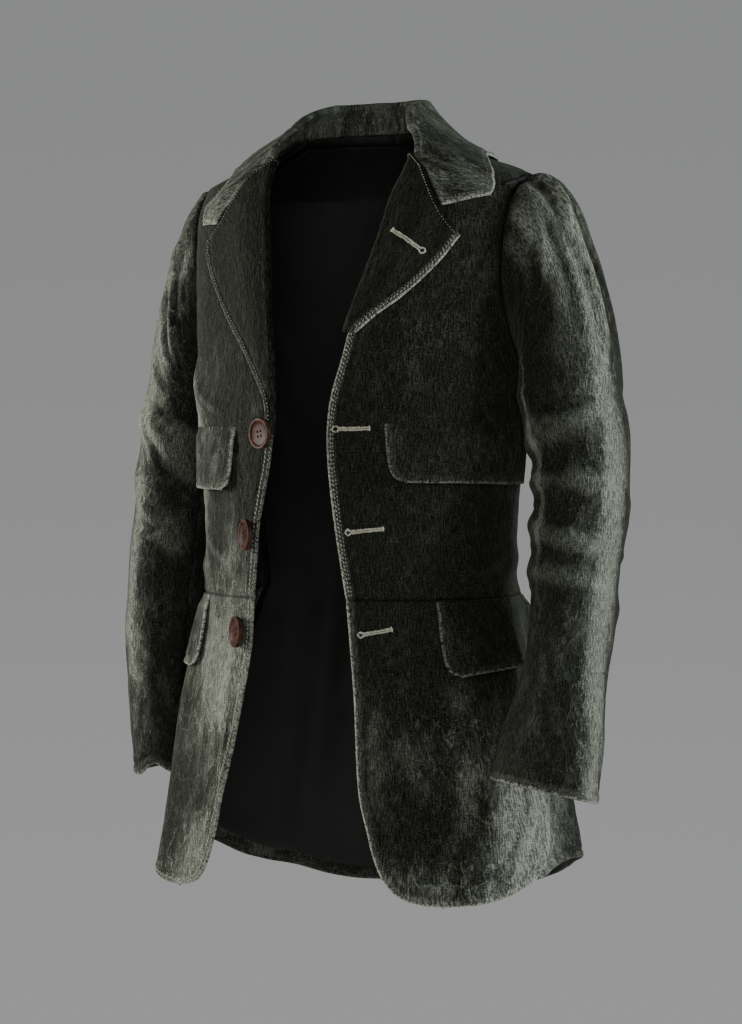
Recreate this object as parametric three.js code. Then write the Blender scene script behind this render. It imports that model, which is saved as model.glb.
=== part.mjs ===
// A velvet field jacket, held open in the shape of its wearer, in millimetres.
// +Z is up and the front faces -Y, so the wearer's left side is on +X.
// The origin lies on the centre plane at the height of the back neck seam.
// Places on the body are given as a turn from the centre front in degrees and a level in Z.
import * as THREE from "three";

// ---------------------------------------------------------------- driving sizes
const VELVET = 2.2; // wall of the velvet pieces
const LINING = 1.1; // wall of the lining
const SEAM_TURN = 0.14; // half the gap of an upright seam, degrees
const SEAM_LEVEL = 0.3; // half the gap of the waist seam
const LINING_DEPTH = 7.2; // outer face of the lining inside the outer face of the velvet
const TOP_LIFT = 3.6; // outer face of a flap above the panel it lies on, at its seam
const COLLAR_LIFT = 3.9; // outer face of the collar above the shoulders, at its edge
const NAPE = 180;
const WAIST = -427;
const BUTTON_RADIUS = 14;
const BUTTON_THICKNESS = 4.2;
const BUTTON_STAND = 6.4; // middle of a button above the front

// Sections of the body. The roundness of the front is 2 for an ellipse, more for a squarer one.
const BODY_COLUMNS = ["level", "left", "right", "front", "back", "middle", "squareness"];
const BODY_ROWS = [
  [-760, 220, 208, 145, 165, 0, 2.2],
  [-720, 211, 201, 142, 160, 0, 2.2],
  [-660, 202, 191, 136, 149, 0, 2.2],
  [-600, 190, 181, 130, 136, 0, 2.2],
  [-530, 170, 169, 124, 121, 0, 2.25],
  [-450, 152, 149, 119, 107, 0, 2.3],
  [-400, 148, 146, 118, 102, 0, 2.3],
  [-350, 150, 148, 118, 103, 0, 2.3],
  [-300, 155, 152, 119, 107, 0, 2.3],
  [-250, 159, 155, 120, 112, 1, 2.3],
  [-200, 162, 158, 119, 115, 3, 2.3],
  [-160, 166, 161, 116, 117, 5, 2.3],
  [-120, 171, 165, 110, 116, 8, 2.3],
  [-80, 174, 167, 100, 112, 10, 2.3],
  [-50, 171, 160, 89, 108, 12, 2.2],
  [-41, 158, 145, 83, 104, 12, 2.1],
  [-28, 122, 112, 74, 94, 12, 2.05],
  [-10, 76, 76, 60, 74, 12, 2.0],
  [0, 62, 62, 54, 60, 12, 2.0],
  [10, 60, 60, 52, 58, 12, 2.0],
];

// How far the open front edges stand forward, at each level, left and right.
const SWING_ROWS = [
  [-760, 4, 10],
  [-600, 6, 14],
  [-425, 10, 19],
  [-280, 10, 19],
  [-190, 6, 12],
  [-110, 1, 3],
  [0, 0, 0],
];
const SWING_TURNS = [8, 52];

// Soft folds raised on the body: turn and level of both ends, half width, height, side (0 both).
const BODY_FOLDS = [
  [66, -470, 62, -690, 15, 7, 1],
  [84, -470, 78, -690, 12, 6, 1],
  [112, -450, 100, -690, 15, 9, 0],
  [138, -450, 132, -700, 17, 9, 0],
  [163, -450, 160, -700, 17, 8, 0],
  [70, -470, 66, -690, 16, 6, -1],
  [36, -480, 40, -660, 20, 3, 0],
  [80, -226, 48, -250, 13, 4, 0],
  [98, -395, 70, -402, 10, 3, 0],
  [116, -395, 150, -402, 10, 3, 0],
];

// Front edge from the waist seam up to the break, then the roll line up to the collar.
const FRONT_EDGE = {
  left: [[23.6, -427], [19.8, -374], [17.2, -330], [15.8, -286], [17, -250], [20.8, -215], [23, -192]],
  right: [[18.8, -427], [17.2, -395], [15.8, -364], [12.8, -336], [9.5, -308], [7.4, -280]],
};
const ROLL_LINE = {
  left: [[23, -192], [28.6, -150], [34.5, -112], [41.5, -68], [52, -34]],
  right: [[7.4, -280], [9, -240], [11.6, -200], [16, -160], [21.6, -116], [33, -56], [43, -32]],
};
// Neck edge of the front from the roll line toward the shoulder seam.
const NECK = {
  left: [[52, -34], [62, -19], [75, -7]],
  right: [[43, -32], [56, -17], [72, -7]],
};
// Front edge below the waist, round the lower corner, from the hem up.
const SKIRT_EDGE = {
  left: [
    [52, -694], [46, -692], [40.2, -686], [35.8, -673], [32.6, -652], [30.5, -628],
    [28.2, -602], [27.2, -568], [26.5, -515], [25.2, -471], [23.6, -427],
  ],
  right: [
    [50, -694], [45, -691], [40, -686], [36.4, -675], [33.6, -652], [31.9, -628],
    [30.2, -602], [27.6, -565], [23.2, -515], [19.6, -470], [18.8, -427],
  ],
};
const SKIRT_HEM = {
  left: [[52, -694], [61, -692], [70, -685], [77, -674]],
  right: [[50, -694], [60, -694], [69, -687], [77, -674]],
};
const SIDE_SEAM_SKIRT = [[77, -674], [81.4, -656], [88, -618], [97.6, -540], [106, -472], [111, -427]];
const SIDE_SEAM_TOP = [[111, -427], [108, -370], [104, -310], [100, -262], [97, -229]];
const BACK_HEM = {
  left: [[96, -664], [118, -682], [146, -712]],
  right: [[96, -668], [118, -697], [146, -719]],
};
const BACK_HEM_LEVEL = -725;
const NAPE_LEVEL = 4;
const BACK_NECK = [[112, 0], [140, 3]];
const SHOULDER_LEVEL = -46.5;
const SHOULDER_BLADE = -60;

// Armhole: angle round the sleeve (0 outward, 90 front, 180 under the arm), turn, level.
const ARMHOLE = [
  [-180, 97, -229], [-150, 104, -214], [-125, 110, -186], [-100, 113, -148],
  [-75, 112, -109], [-45, 106, -72], [-20, 97, -52], [0, 90, -46.5],
  [20, 84, -51], [45, 78, -67], [75, 74.5, -102], [100, 75, -144],
  [125, 80, -181], [150, 88, -212], [180, 97, -229],
];

// Sleeves below the armhole: level, X outward, Y, half width, half depth.
const SLEEVE_ROWS = {
  left: [
    [-589.5, 224, -84, 50, 32], [-550, 224, -69, 47, 34], [-515, 225.5, -53, 40.5, 38],
    [-475, 226, -37, 36.5, 41], [-430, 225, -22, 37.5, 43], [-385, 223, -10, 40, 45],
    [-340, 224, -2, 41, 47], [-295, 221, 3, 43, 50], [-245, 208, 6, 46, 53],
  ],
  right: [
    [-606, 220, 22, 34, 44], [-565, 222, 20, 34, 45], [-520, 222, 16, 35, 46],
    [-475, 221, 14, 37, 47], [-430, 218, 13, 38, 47], [-385, 213, 13, 39, 48],
    [-340, 206, 14, 39, 49], [-295, 201, 15, 39, 51], [-245, 195, 16, 36, 53],
  ],
};
const SLEEVE_HEAD = 0.36; // share of the sleeve rows above the level of the armpit
// Reach of the head's curve by angle round the sleeve: out from the armhole, up from the arm.
const HEAD_ROWS = {
  left: [
    [0, 33, 11, 76], [45, 33, 8, 70], [75, 29, 4, 56], [100, 22, 2, 40],
    [125, 14, 0, 24], [150, 6, 0, 10], [180, 4, 0, 4],
  ],
  right: [
    [0, 18, 8, 64], [45, 18, 6, 58], [75, 18, 4, 50], [100, 16, 2, 36],
    [125, 12, 0, 22], [150, 6, 0, 10], [180, 4, 0, 4],
  ],
};
const SLEEVE_SEAMS = [-104, 155]; // hind arm and front seam, degrees round the sleeve
const SLEEVE_SEAM_GAP = 0.5;
const SLEEVE_START = 4.4; // first ring inside the armhole edge
const TOP_SLEEVE_COLUMNS = [
  -104, -94, -84, -76, -70, -64, -58, -52, -46, -40, -34, -28, -22, -16, -10, -4, 2, 8, 14, 20,
  26, 32, 38, 45, 52, 58, 64, 72, 80, 88, 98, 110, 125, 140, 155,
];
const CUFF_VENT = { start: 0.9, turn: 5 };
// How the cuffs' rings lean at the end: outward and backward shares of their downward direction.
const CUFF_LEAN = { left: [-0.15, 0.17], right: [0, 0] };
// Gathers of the sleeve head: angle, half width in degrees, height, share of the head.
const GATHERS = [
  [-58, 8, 4.5, 0.55], [-34, 8, 5.5, 0.7], [-10, 8, 6, 0.8], [14, 8.5, 7, 0.95],
  [38, 8, 5, 0.6], [58, 8.5, 7, 0.85], [80, 8, 4.5, 0.55],
];
// Folds round the sleeves: angle and share of the length at both ends, half width, height, side.
const SLEEVE_FOLDS = [
  [60, 0.4, 176, 0.43, 12, 5, 0],
  [70, 0.5, 176, 0.49, 11, 5, 1],
  [60, 0.6, 170, 0.56, 11, 5, 1],
  [70, 0.66, 175, 0.63, 10, 4, 1],
  [40, 0.36, 130, 0.46, 13, 5, -1],
  [50, 0.5, 120, 0.58, 13, 4, -1],
  [-60, 0.55, -150, 0.6, 13, 5, 0],
  [-50, 0.68, -140, 0.66, 12, 4, 0],
];

// Collar stations from the centre back to the notch: turn and level on the neck seam, height of
// the stand, lean of the fold outward, turn and level of the edge of the fall.
const COLLAR_ROWS = {
  left: [
    [180, 4, 27, 0, 180, -34], [160, 4, 27, 0, 161, -34], [140, 3, 26, -1, 142, -33],
    [120, 1, 24.5, -5, 123, -31], [104, -1, 23.5, -10, 107, -29], [90, -3, 23, -14, 93, -28],
    [76, -7, 22, -14, 82.5, -32], [65, -15, 17, -10, 77, -38], [57, -25, 10, -4, 74, -45],
    [52, -34, 4, 2, 72.6, -52], [53.4, -46, 0, 0, 72.4, -58], [54.3, -60, 0, 0, 71.6, -64],
    [56.4, -78, 0, 0, 70.4, -69],
  ],
  right: [
    [180, 4, 27, 0, 180, -34], [160, 4, 27, 0, 161, -34], [140, 3, 26, -1, 142, -33],
    [120, 1, 25, -4, 123, -32], [104, -1, 24, -7, 107, -31], [90, -3, 23, -9, 93, -31],
    [75, -7, 20, -9, 79, -33], [62, -13, 15, -6, 66, -38], [51, -22, 9, -2, 58.6, -46],
    [43, -32, 4, 2, 58, -54], [45.4, -46, 0, 0, 60, -62], [47.2, -60, 0, 0, 63, -71],
    [52.4, -87, 0, 0, 61.4, -86],
  ],
};
const COLLAR_START = 2.2; // foot of the stand above the neck edge of the panels
const COLLAR_STEPS = 36; // stations over the whole length
const COLLAR_SECTION = [0, 0.8, 1.6, 2.2, 2.7, 3.2, 3.7, 4.2, 4.8, 5.4, 6];

// Lapels: the outer edge from the break up to the tip, and the top edge's last point.
const LAPEL_EDGE = {
  left: [[26, -192], [33.4, -176], [41, -162], [48, -146], [55, -126], [61, -104]],
  right: [
    [9.4, -274], [11.4, -250], [17, -229], [26.3, -201], [35, -179], [44.5, -152],
    [52.2, -127], [55, -114], [56, -100],
  ],
};
const LAPEL_ROLL = 3.1; // radius of the turned edge
const LAPEL_LIFT = 3.9; // outer face of the lapel above the front, at its edge
const LAPEL_BELLY = 5;
const LAPEL_BOW = 2.6; // how far the top edge curves in toward the notch, degrees

// Flaps: turn and level of the corners along the panel, as edges from the bottom to the top.
const CHEST_FLAP = {
  left: {
    inner: [[44.5, -322.5], [41, -318.5], [39.3, -310], [38.4, -296], [37.6, -272]],
    outer: [[98, -324], [99, -298], [98.5, -272]],
  },
  right: {
    inner: [[36, -330], [32.5, -325.5], [30.8, -317], [29.8, -300], [29, -274]],
    outer: [[93, -327], [94, -300], [93.5, -274]],
  },
  flare: { left: 3, right: 4 },
};
const HIP_FLAP = {
  left: {
    inner: [[61.5, -496], [58.8, -492.5], [57.2, -484], [56.4, -464], [56, -429]],
    outer: [[107, -484], [109, -458], [110, -429]],
  },
  right: {
    inner: [[61, -496], [57.6, -491], [56, -482], [55, -462], [53.6, -429]],
    outer: [[105, -493], [107, -462], [108, -429]],
  },
  flare: { left: 6, right: 1.5 },
};
// Buttons on the wearer's right: turn, level, lean toward the side in degrees.
const BUTTONS = [
  ["button_top", 11.6, -280, 12],
  ["button_middle", 20.2, -370, 18],
  ["button_bottom", 25.2, -458, 14],
];

// ---------------------------------------------------------------- finishes
function finish(name, colour, roughness, metalness = 0) {
  const material = new THREE.MeshStandardMaterial({ color: colour, roughness, metalness });
  material.name = name;
  return material;
}
const FINISHES = {
  velvet: () => finish("velvet", 0x23271f, 0.85),
  lining: () => finish("lining", 0x0b0b0b, 0.7),
  horn: () => finish("horn", 0x4a2a22, 0.3),
};

// ---------------------------------------------------------------- curves
function smoothRows(rows) {
  // Monotone cubic curves through rows sorted by their first column.
  const count = rows.length;
  const width = rows[0].length - 1;
  const slopes = [];
  for (let column = 0; column < width; column += 1) {
    const steps = [];
    for (let row = 0; row + 1 < count; row += 1) {
      const run = rows[row + 1][0] - rows[row][0];
      steps.push((rows[row + 1][column + 1] - rows[row][column + 1]) / run);
    }
    const slope = [steps[0]];
    for (let row = 1; row + 1 < count; row += 1) {
      const before = steps[row - 1];
      const after = steps[row];
      slope.push(before * after <= 0 ? 0 : (2 * before * after) / (before + after));
    }
    slope.push(steps[count - 2]);
    slopes.push(slope);
  }
  return (place) => {
    let row = 0;
    while (row + 2 < count && place > rows[row + 1][0]) row += 1;
    const run = rows[row + 1][0] - rows[row][0];
    const share = Math.min(1, Math.max(0, (place - rows[row][0]) / run));
    const s2 = share * share;
    const s3 = s2 * share;
    return slopes.map((slope, column) => {
      const from = rows[row][column + 1];
      const to = rows[row + 1][column + 1];
      return (
        (2 * s3 - 3 * s2 + 1) * from +
        (s3 - 2 * s2 + share) * run * slope[row] +
        (3 * s2 - 2 * s3) * to +
        (s3 - s2) * run * slope[row + 1]
      );
    });
  };
}

function easeBetween(from, to, value) {
  const share = Math.min(1, Math.max(0, (value - from) / (to - from)));
  return share * share * (3 - 2 * share);
}

function curveThrough(points) {
  // A soft curve through [turn, level] points, by share of its length on the body.
  const lengths = [0];
  for (let index = 1; index < points.length; index += 1) {
    const across = (points[index][0] - points[index - 1][0]) * MM_PER_DEGREE;
    const along = points[index][1] - points[index - 1][1];
    lengths.push(lengths[index - 1] + Math.max(1e-6, Math.hypot(across, along)));
  }
  const total = lengths[lengths.length - 1];
  const path = cardinalRows(points.map((point, index) => [lengths[index] / total, ...point]));
  return (share) => path(share);
}

function cardinalRows(rows) {
  // Cubic curves through rows with slopes from their neighbours.
  const count = rows.length;
  const slopes = rows.map((row, index) => {
    const before = rows[Math.max(0, index - 1)];
    const after = rows[Math.min(count - 1, index + 1)];
    return row.slice(1).map((value, column) => {
      return (after[column + 1] - before[column + 1]) / (after[0] - before[0]);
    });
  });
  return (place) => {
    let row = 0;
    while (row + 2 < count && place > rows[row + 1][0]) row += 1;
    const run = rows[row + 1][0] - rows[row][0];
    const share = Math.min(1, Math.max(0, (place - rows[row][0]) / run));
    const s2 = share * share;
    const s3 = s2 * share;
    return rows[row].slice(1).map((from, column) => {
      const to = rows[row + 1][column + 1];
      return (
        (2 * s3 - 3 * s2 + 1) * from +
        (s3 - 2 * s2 + share) * run * slopes[row][column] +
        (3 * s2 - 2 * s3) * to +
        (s3 - s2) * run * slopes[row + 1][column]
      );
    });
  };
}

const MM_PER_DEGREE = 2.3;
const bodyRow = smoothRows(BODY_ROWS);
const swingRow = smoothRows(SWING_ROWS);

function foldHeight(across, along, row, scale) {
  // Height of one soft ridge at a place; its ends fade over the ridge's own width.
  const [fromA, fromB, toA, toB, width, height] = row;
  const runA = (toA - fromA) * scale;
  const runB = toB - fromB;
  const length = Math.hypot(runA, runB);
  const stepA = (across - fromA) * scale;
  const stepB = along - fromB;
  const share = (stepA * runA + stepB * runB) / (length * length);
  const side = Math.abs(stepA * runB - stepB * runA) / length;
  const over = Math.max(0, -share, share - 1) * length;
  return height * Math.exp(-((side / width) ** 2) - (over / (2 * width)) ** 2);
}

function bodyFolds(turn, level, side) {
  let sum = 0;
  for (const row of BODY_FOLDS) {
    if (row[6] === 0 || row[6] === side) sum += foldHeight(turn, level, row, MM_PER_DEGREE);
  }
  return sum;
}

// ---------------------------------------------------------------- the body's surface
function plainBody(turn, level, side) {
  const [left, right, front, back, middle, squareness] = bodyRow(level);
  const angle = (turn * Math.PI) / 180;
  const across = Math.sin(angle);
  const ahead = Math.cos(angle);
  const half = side > 0 ? left : right;
  const depth = ahead >= 0 ? front : back;
  const reach =
    ((Math.abs(across) / half) ** squareness + (Math.abs(ahead) / depth) ** squareness) **
    (-1 / squareness);
  const swing = swingRow(level)[side > 0 ? 0 : 1];
  const forward = swing * (1 - easeBetween(SWING_TURNS[0], SWING_TURNS[1], turn));
  return new THREE.Vector3(side * reach * across, middle - reach * ahead - forward, level);
}

function bodyNormal(turn, level, side) {
  const step = 0.5;
  const around = plainBody(turn + step, level, side).sub(plainBody(turn - step, level, side));
  const up = plainBody(turn, level + step, side).sub(plainBody(turn, level - step, side));
  return around.cross(up).multiplyScalar(side).normalize();
}

function onBody(turn, level, side, lift = 0) {
  const normal = bodyNormal(turn, level, side);
  const height = bodyFolds(turn, level, side) + lift;
  return plainBody(turn, level, side).addScaledVector(normal, height);
}

// ---------------------------------------------------------------- solids from grids
function slab(outer, inner) {
  // One closed wall between two grids of points with the same rows and columns.
  const rows = outer.length;
  const columns = outer[0].length;
  const places = [];
  for (const grid of [outer, inner]) {
    for (const row of grid) for (const point of row) places.push(point.x, point.y, point.z);
  }
  const at = (layer, row, column) => layer * rows * columns + row * columns + column;
  const faces = [];
  const quad = (a, b, c, d) => faces.push(a, b, c, a, c, d);
  for (let row = 0; row + 1 < rows; row += 1) {
    for (let column = 0; column + 1 < columns; column += 1) {
      quad(at(0, row, column), at(0, row, column + 1),
        at(0, row + 1, column + 1), at(0, row + 1, column));
      quad(at(1, row, column), at(1, row + 1, column),
        at(1, row + 1, column + 1), at(1, row, column + 1));
    }
  }
  for (let row = 0; row + 1 < rows; row += 1) {
    quad(at(0, row, 0), at(0, row + 1, 0), at(1, row + 1, 0), at(1, row, 0));
    const last = columns - 1;
    quad(at(0, row + 1, last), at(0, row, last), at(1, row, last), at(1, row + 1, last));
  }
  for (let column = 0; column + 1 < columns; column += 1) {
    quad(at(0, 0, column + 1), at(0, 0, column), at(1, 0, column), at(1, 0, column + 1));
    const last = rows - 1;
    quad(at(0, last, column), at(0, last, column + 1),
      at(1, last, column + 1), at(1, last, column));
  }
  return facingOut(places, faces);
}

function facingOut(places, faces) {
  let volume = 0;
  const point = (index) => new THREE.Vector3().fromArray(places, index * 3);
  for (let face = 0; face < faces.length; face += 3) {
    const [a, b, c] = [point(faces[face]), point(faces[face + 1]), point(faces[face + 2])];
    volume += a.dot(b.cross(c));
  }
  const turned = volume < 0 ? faces.slice().reverse() : faces;
  const geometry = new THREE.BufferGeometry();
  geometry.setAttribute("position", new THREE.Float32BufferAttribute(places, 3));
  geometry.setIndex(turned);
  geometry.computeVertexNormals();
  return geometry;
}

function steps(count, from = 0, to = 1) {
  return Array.from({ length: count + 1 }, (_, index) => from + ((to - from) * index) / count);
}

function edgeOf(parts) {
  // One edge made of curves that meet at corners; each part takes its own number of steps.
  const total = parts.reduce((sum, part) => sum + part.steps, 0);
  const curves = parts.map((part) => curveThrough(part.points));
  return (share) => {
    let place = share * total;
    for (let index = 0; index < parts.length; index += 1) {
      const last = index === parts.length - 1;
      if (place <= parts[index].steps || last) return curves[index](place / parts[index].steps);
      place -= parts[index].steps;
    }
    return curves[0](0);
  };
}

function patch(bottom, top, inner, outer) {
  // A place inside four edge curves, by its shares across (from inner) and up (from bottom).
  return (across, up) => {
    const low = bottom(across);
    const high = top(across);
    const near = inner(up);
    const far = outer(up);
    const corners = [bottom(0), bottom(1), top(0), top(1)];
    return [0, 1].map((axis) => {
      const blend =
        (1 - up) * ((1 - across) * corners[0][axis] + across * corners[1][axis]) +
        up * ((1 - across) * corners[2][axis] + across * corners[3][axis]);
      return (
        (1 - up) * low[axis] + up * high[axis] +
        (1 - across) * near[axis] + across * far[axis] - blend
      );
    });
  };
}

function panelSlab(side, place, acrossSteps, upSteps, depth, wall) {
  const grid = (below) =>
    upSteps.map((up) =>
      acrossSteps.map((across) => {
        const [turn, level] = place(across, up);
        return onBody(turn, level, side, -below);
      }),
    );
  return slab(grid(depth), grid(depth + wall));
}

function shifted(points, turn, level) {
  return points.map((point) => [point[0] + turn, point[1] + level, ...point.slice(2)]);
}

// ---------------------------------------------------------------- panels
const sideName = (side) => (side > 0 ? "left" : "right");
const armholeAt = cardinalRows(ARMHOLE);
function armholeEdge(from, turn) {
  // Half of the armhole, from under the arm to the shoulder: turn, level and sleeve angle.
  const points = steps(12, from, 0).map((angle) => [...armholeAt(angle), angle]);
  return shifted(points, turn, 0);
}

const SKIRT_STEPS = 10;
const SIDE_STEPS = 8; // waist seam up to the armpit
const ARMHOLE_STEPS = 8;
const SHOULDER_STEPS = 5;
const TOP_STEPS = SIDE_STEPS + ARMHOLE_STEPS + SHOULDER_STEPS;
const FRONT_COLUMNS = 11;
const BACK_COLUMNS = 8;
const EDGE_STEPS = { left: [11, 10], right: [7, 14] }; // front edge, roll line

function sideSeam(from, turn) {
  // From the waist up to the armpit, round the armhole and along the shoulder to the neck.
  const shoulder = 90 + turn;
  return [
    { points: shifted(SIDE_SEAM_TOP, turn, 0), steps: SIDE_STEPS },
    { points: armholeEdge(from, turn), steps: ARMHOLE_STEPS },
    {
      points: [[shoulder, SHOULDER_LEVEL], [shoulder, -24], [shoulder + turn, -3]],
      steps: SHOULDER_STEPS,
    },
  ];
}

function frontPlace(side) {
  const name = sideName(side);
  const [edge, roll] = EDGE_STEPS[name];
  const inner = edgeOf([
    { points: FRONT_EDGE[name], steps: edge },
    { points: ROLL_LINE[name], steps: roll },
  ]);
  const outer = edgeOf(sideSeam(180, -SEAM_TURN));
  const raised = (curve) => (share) => {
    const [turn, level] = curve(share);
    return [turn, level + SEAM_LEVEL * (1 - Math.min(1, share * TOP_STEPS))];
  };
  const [from, to] = [raised(inner)(0), raised(outer)(0)];
  const bottom = (share) => [from[0] + share * (to[0] - from[0]), from[1]];
  const top = curveThrough([...NECK[name], outer(1)]);
  return patch(bottom, top, raised(inner), raised(outer));
}

function skirtPlace(side) {
  const name = sideName(side);
  const inner = curveThrough(SKIRT_EDGE[name]);
  const outer = curveThrough(shifted(SIDE_SEAM_SKIRT, -SEAM_TURN, 0));
  const bottom = curveThrough([...SKIRT_HEM[name].slice(0, -1), outer(0)]);
  const lowered = (curve) => (share) => {
    const [turn, level] = curve(share);
    return [turn, level - SEAM_LEVEL * Math.max(0, 1 - (1 - share) * SKIRT_STEPS)];
  };
  const [from, to] = [lowered(inner)(1), lowered(outer)(1)];
  const top = (share) => [from[0] + share * (to[0] - from[0]), from[1]];
  return patch(bottom, top, lowered(inner), lowered(outer));
}

function backPlace(side) {
  const sideEdge = edgeOf([
    { points: shifted(SIDE_SEAM_SKIRT, SEAM_TURN, 0), steps: SKIRT_STEPS },
    ...sideSeam(-180, SEAM_TURN),
  ]);
  const middle = NAPE - SEAM_TURN;
  const middleEdge = edgeOf([
    { points: [[middle, BACK_HEM_LEVEL], [middle, WAIST]], steps: SKIRT_STEPS },
    { points: [[middle, WAIST], [middle, SHOULDER_BLADE]], steps: SIDE_STEPS + ARMHOLE_STEPS },
    { points: [[middle, SHOULDER_BLADE], [middle, NAPE_LEVEL]], steps: SHOULDER_STEPS },
  ]);
  const bottom = curveThrough([
    sideEdge(0), ...BACK_HEM[sideName(side)], [middle, BACK_HEM_LEVEL],
  ]);
  const top = curveThrough([sideEdge(1), ...BACK_NECK, [middle, NAPE_LEVEL]]);
  return patch(bottom, top, sideEdge, middleEdge);
}

function addPanels(add, side) {
  const name = sideName(side);
  const columns = steps(FRONT_COLUMNS);
  add(`front_${name}`, "velvet",
    panelSlab(side, frontPlace(side), columns, steps(TOP_STEPS), 0, VELVET));
  add(`skirt_front_${name}`, "velvet",
    panelSlab(side, skirtPlace(side), columns, steps(SKIRT_STEPS), 0, VELVET));
  const back = backPlace(side);
  const rows = steps(SKIRT_STEPS + TOP_STEPS);
  add(`back_${name}`, "velvet", panelSlab(side, back, steps(BACK_COLUMNS), rows, 0, VELVET));
  const inset = (shares, low, high) => [low, ...shares.slice(1, -1), high];
  const even = rows.filter((_, index) => index % 2 === 0);
  const lining = panelSlab(side, back, inset(steps(BACK_COLUMNS), 0.05, 0.992),
    inset(even, 0.02, 0.975), LINING_DEPTH, LINING);
  add(`lining_${name}`, "lining", lining);
}

// ---------------------------------------------------------------- flaps
function addFlap(add, name, side, corners, flare) {
  const inner = curveThrough(corners.inner);
  const outer = curveThrough(corners.outer);
  const line = (from, to) => (share) => [0, 1].map((axis) => from[axis] + share * (to[axis] - from[axis]));
  const place = patch(line(inner(0), outer(0)), line(inner(1), outer(1)), inner, outer);
  const grid = (below) =>
    steps(5).map((up) =>
      steps(9).map((across) => {
        const [turn, level] = place(across, up);
        const stand = flare * (1 - up) ** 1.3;
        return onBody(turn, level, side, TOP_LIFT + stand - below);
      }),
    );
  add(name, "velvet", slab(grid(0), grid(VELVET)));
}

// ---------------------------------------------------------------- lapels
function lapelPath(length) {
  // The section of a lapel from its turned edge outward: distance and height of its two faces.
  const radius = Math.min(LAPEL_ROLL, length / 3);
  const path = [];
  for (const turn of steps(4, -90, 90)) {
    const angle = (turn * Math.PI) / 180;
    const reach = radius * Math.cos(angle);
    path.push([-2.2 - reach, -1.1 + radius + radius * Math.sin(angle)]);
  }
  const last = path[path.length - 1];
  for (const share of [0.1, 0.24, 0.42, 0.6, 0.8, 1]) {
    const belly = LAPEL_BELLY * Math.min(1, length / 60) * Math.sin(Math.PI * share) ** 1.2 * (1 - share);
    const rest = LAPEL_LIFT - VELVET / 2;
    path.push([length * share, last[1] + (rest - last[1]) * easeBetween(0, 0.9, share) + belly]);
  }
  return path.map(([out, height], index) => {
    const before = path[Math.max(0, index - 1)];
    const after = path[Math.min(path.length - 1, index + 1)];
    const run = Math.hypot(after[0] - before[0], after[1] - before[1]);
    const across = -(after[1] - before[1]) / run;
    const up = (after[0] - before[0]) / run;
    return { out, height, across, up };
  });
}

function notchCurve(share) {
  return Math.sin(Math.PI * Math.min(1, Math.max(0, share)) ** 1.3);
}

function addLapel(add, side) {
  const name = sideName(side);
  const roll = curveThrough(ROLL_LINE[name]);
  const edge = curveThrough(LAPEL_EDGE[name]);
  const grids = [[], []];
  for (const share of steps(12, 0.035, 0.982)) {
    const from = roll(share);
    const to = edge(share);
    const run = [(to[0] - from[0]) * MM_PER_DEGREE, to[1] - from[1]];
    const length = Math.hypot(...run);
    const rows = [[], []];
    for (const point of lapelPath(length)) {
      [1, -1].forEach((face, layer) => {
        const out = point.out + (face * point.across * VELVET) / 2;
        const height = point.height + (face * point.up * VELVET) / 2;
        const bow = LAPEL_BOW * easeBetween(0.7, 1, share) * notchCurve(out / length);
        const turn = from[0] + ((to[0] - from[0]) * out) / length - bow;
        const level = from[1] + ((to[1] - from[1]) * out) / length;
        rows[layer].push(onBody(turn, level, side, height));
      });
    }
    grids[0].push(rows[0]);
    grids[1].push(rows[1]);
  }
  add(`lapel_${name}`, "velvet", slab(grids[0], grids[1]));
}

// ---------------------------------------------------------------- collar
function collarSection(row, side) {
  // Points across the collar at one station, from the neck seam over the fold to the edge.
  const [turn, level, stand, lean, edgeTurn, edgeLevel] = row;
  const fold = Math.min(1, stand / 15);
  const seamLift = 3.2 * (1 - fold) - 1.1 * fold;
  const seam = onBody(turn, level, side, seamLift).add(new THREE.Vector3(0, 0, COLLAR_START * fold));
  const edge = onBody(edgeTurn, edgeLevel, side, COLLAR_LIFT - VELVET / 2);
  const along = edge.clone().sub(seam);
  along.z *= 1 - fold;
  along.normalize();
  const rise = new THREE.Vector3(0, 0, 1);
  const place = (out, up) => seam.clone().addScaledVector(along, out).addScaledVector(rise, up);
  const middle = onBody(
    0.5 * (turn + edgeTurn), 0.5 * (level + edgeLevel), side, 3.4 + 6.5 * fold);
  return [
    seam,
    place(1.6 * (1 - fold) - 0.5 * fold, 0.62 * stand),
    place(3.2 * (1 - fold) + (lean - 3) * fold, 0.95 * stand),
    place(5.5 * (1 - fold) + (lean + 1.5) * fold, stand + 1.5 * fold),
    place(9 * (1 - fold) + (lean + 8) * fold, stand - 5 * fold),
    middle,
    edge,
  ];
}

function addCollar(add) {
  const stations = [];
  for (const side of [-1, 1]) {
    const rows = COLLAR_ROWS[sideName(side)];
    const at = cardinalRows(rows.map((row, index) => [index / (rows.length - 1), ...row]));
    const half = steps(COLLAR_STEPS / 2).map((share) => collarSection(at(share), side));
    stations.push(...(side < 0 ? half.reverse() : half.slice(1)));
  }
  const lines = stations.map((points) => {
    const curve = cardinalRows(points.map((point, index) => [index, point.x, point.y, point.z]));
    return COLLAR_SECTION.map((place) => new THREE.Vector3(...curve(place)));
  });
  const [outer, inner] = thickened(lines, VELVET / 2, VELVET / 2);
  add("collar", "velvet", slab(outer, inner));
}

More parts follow.
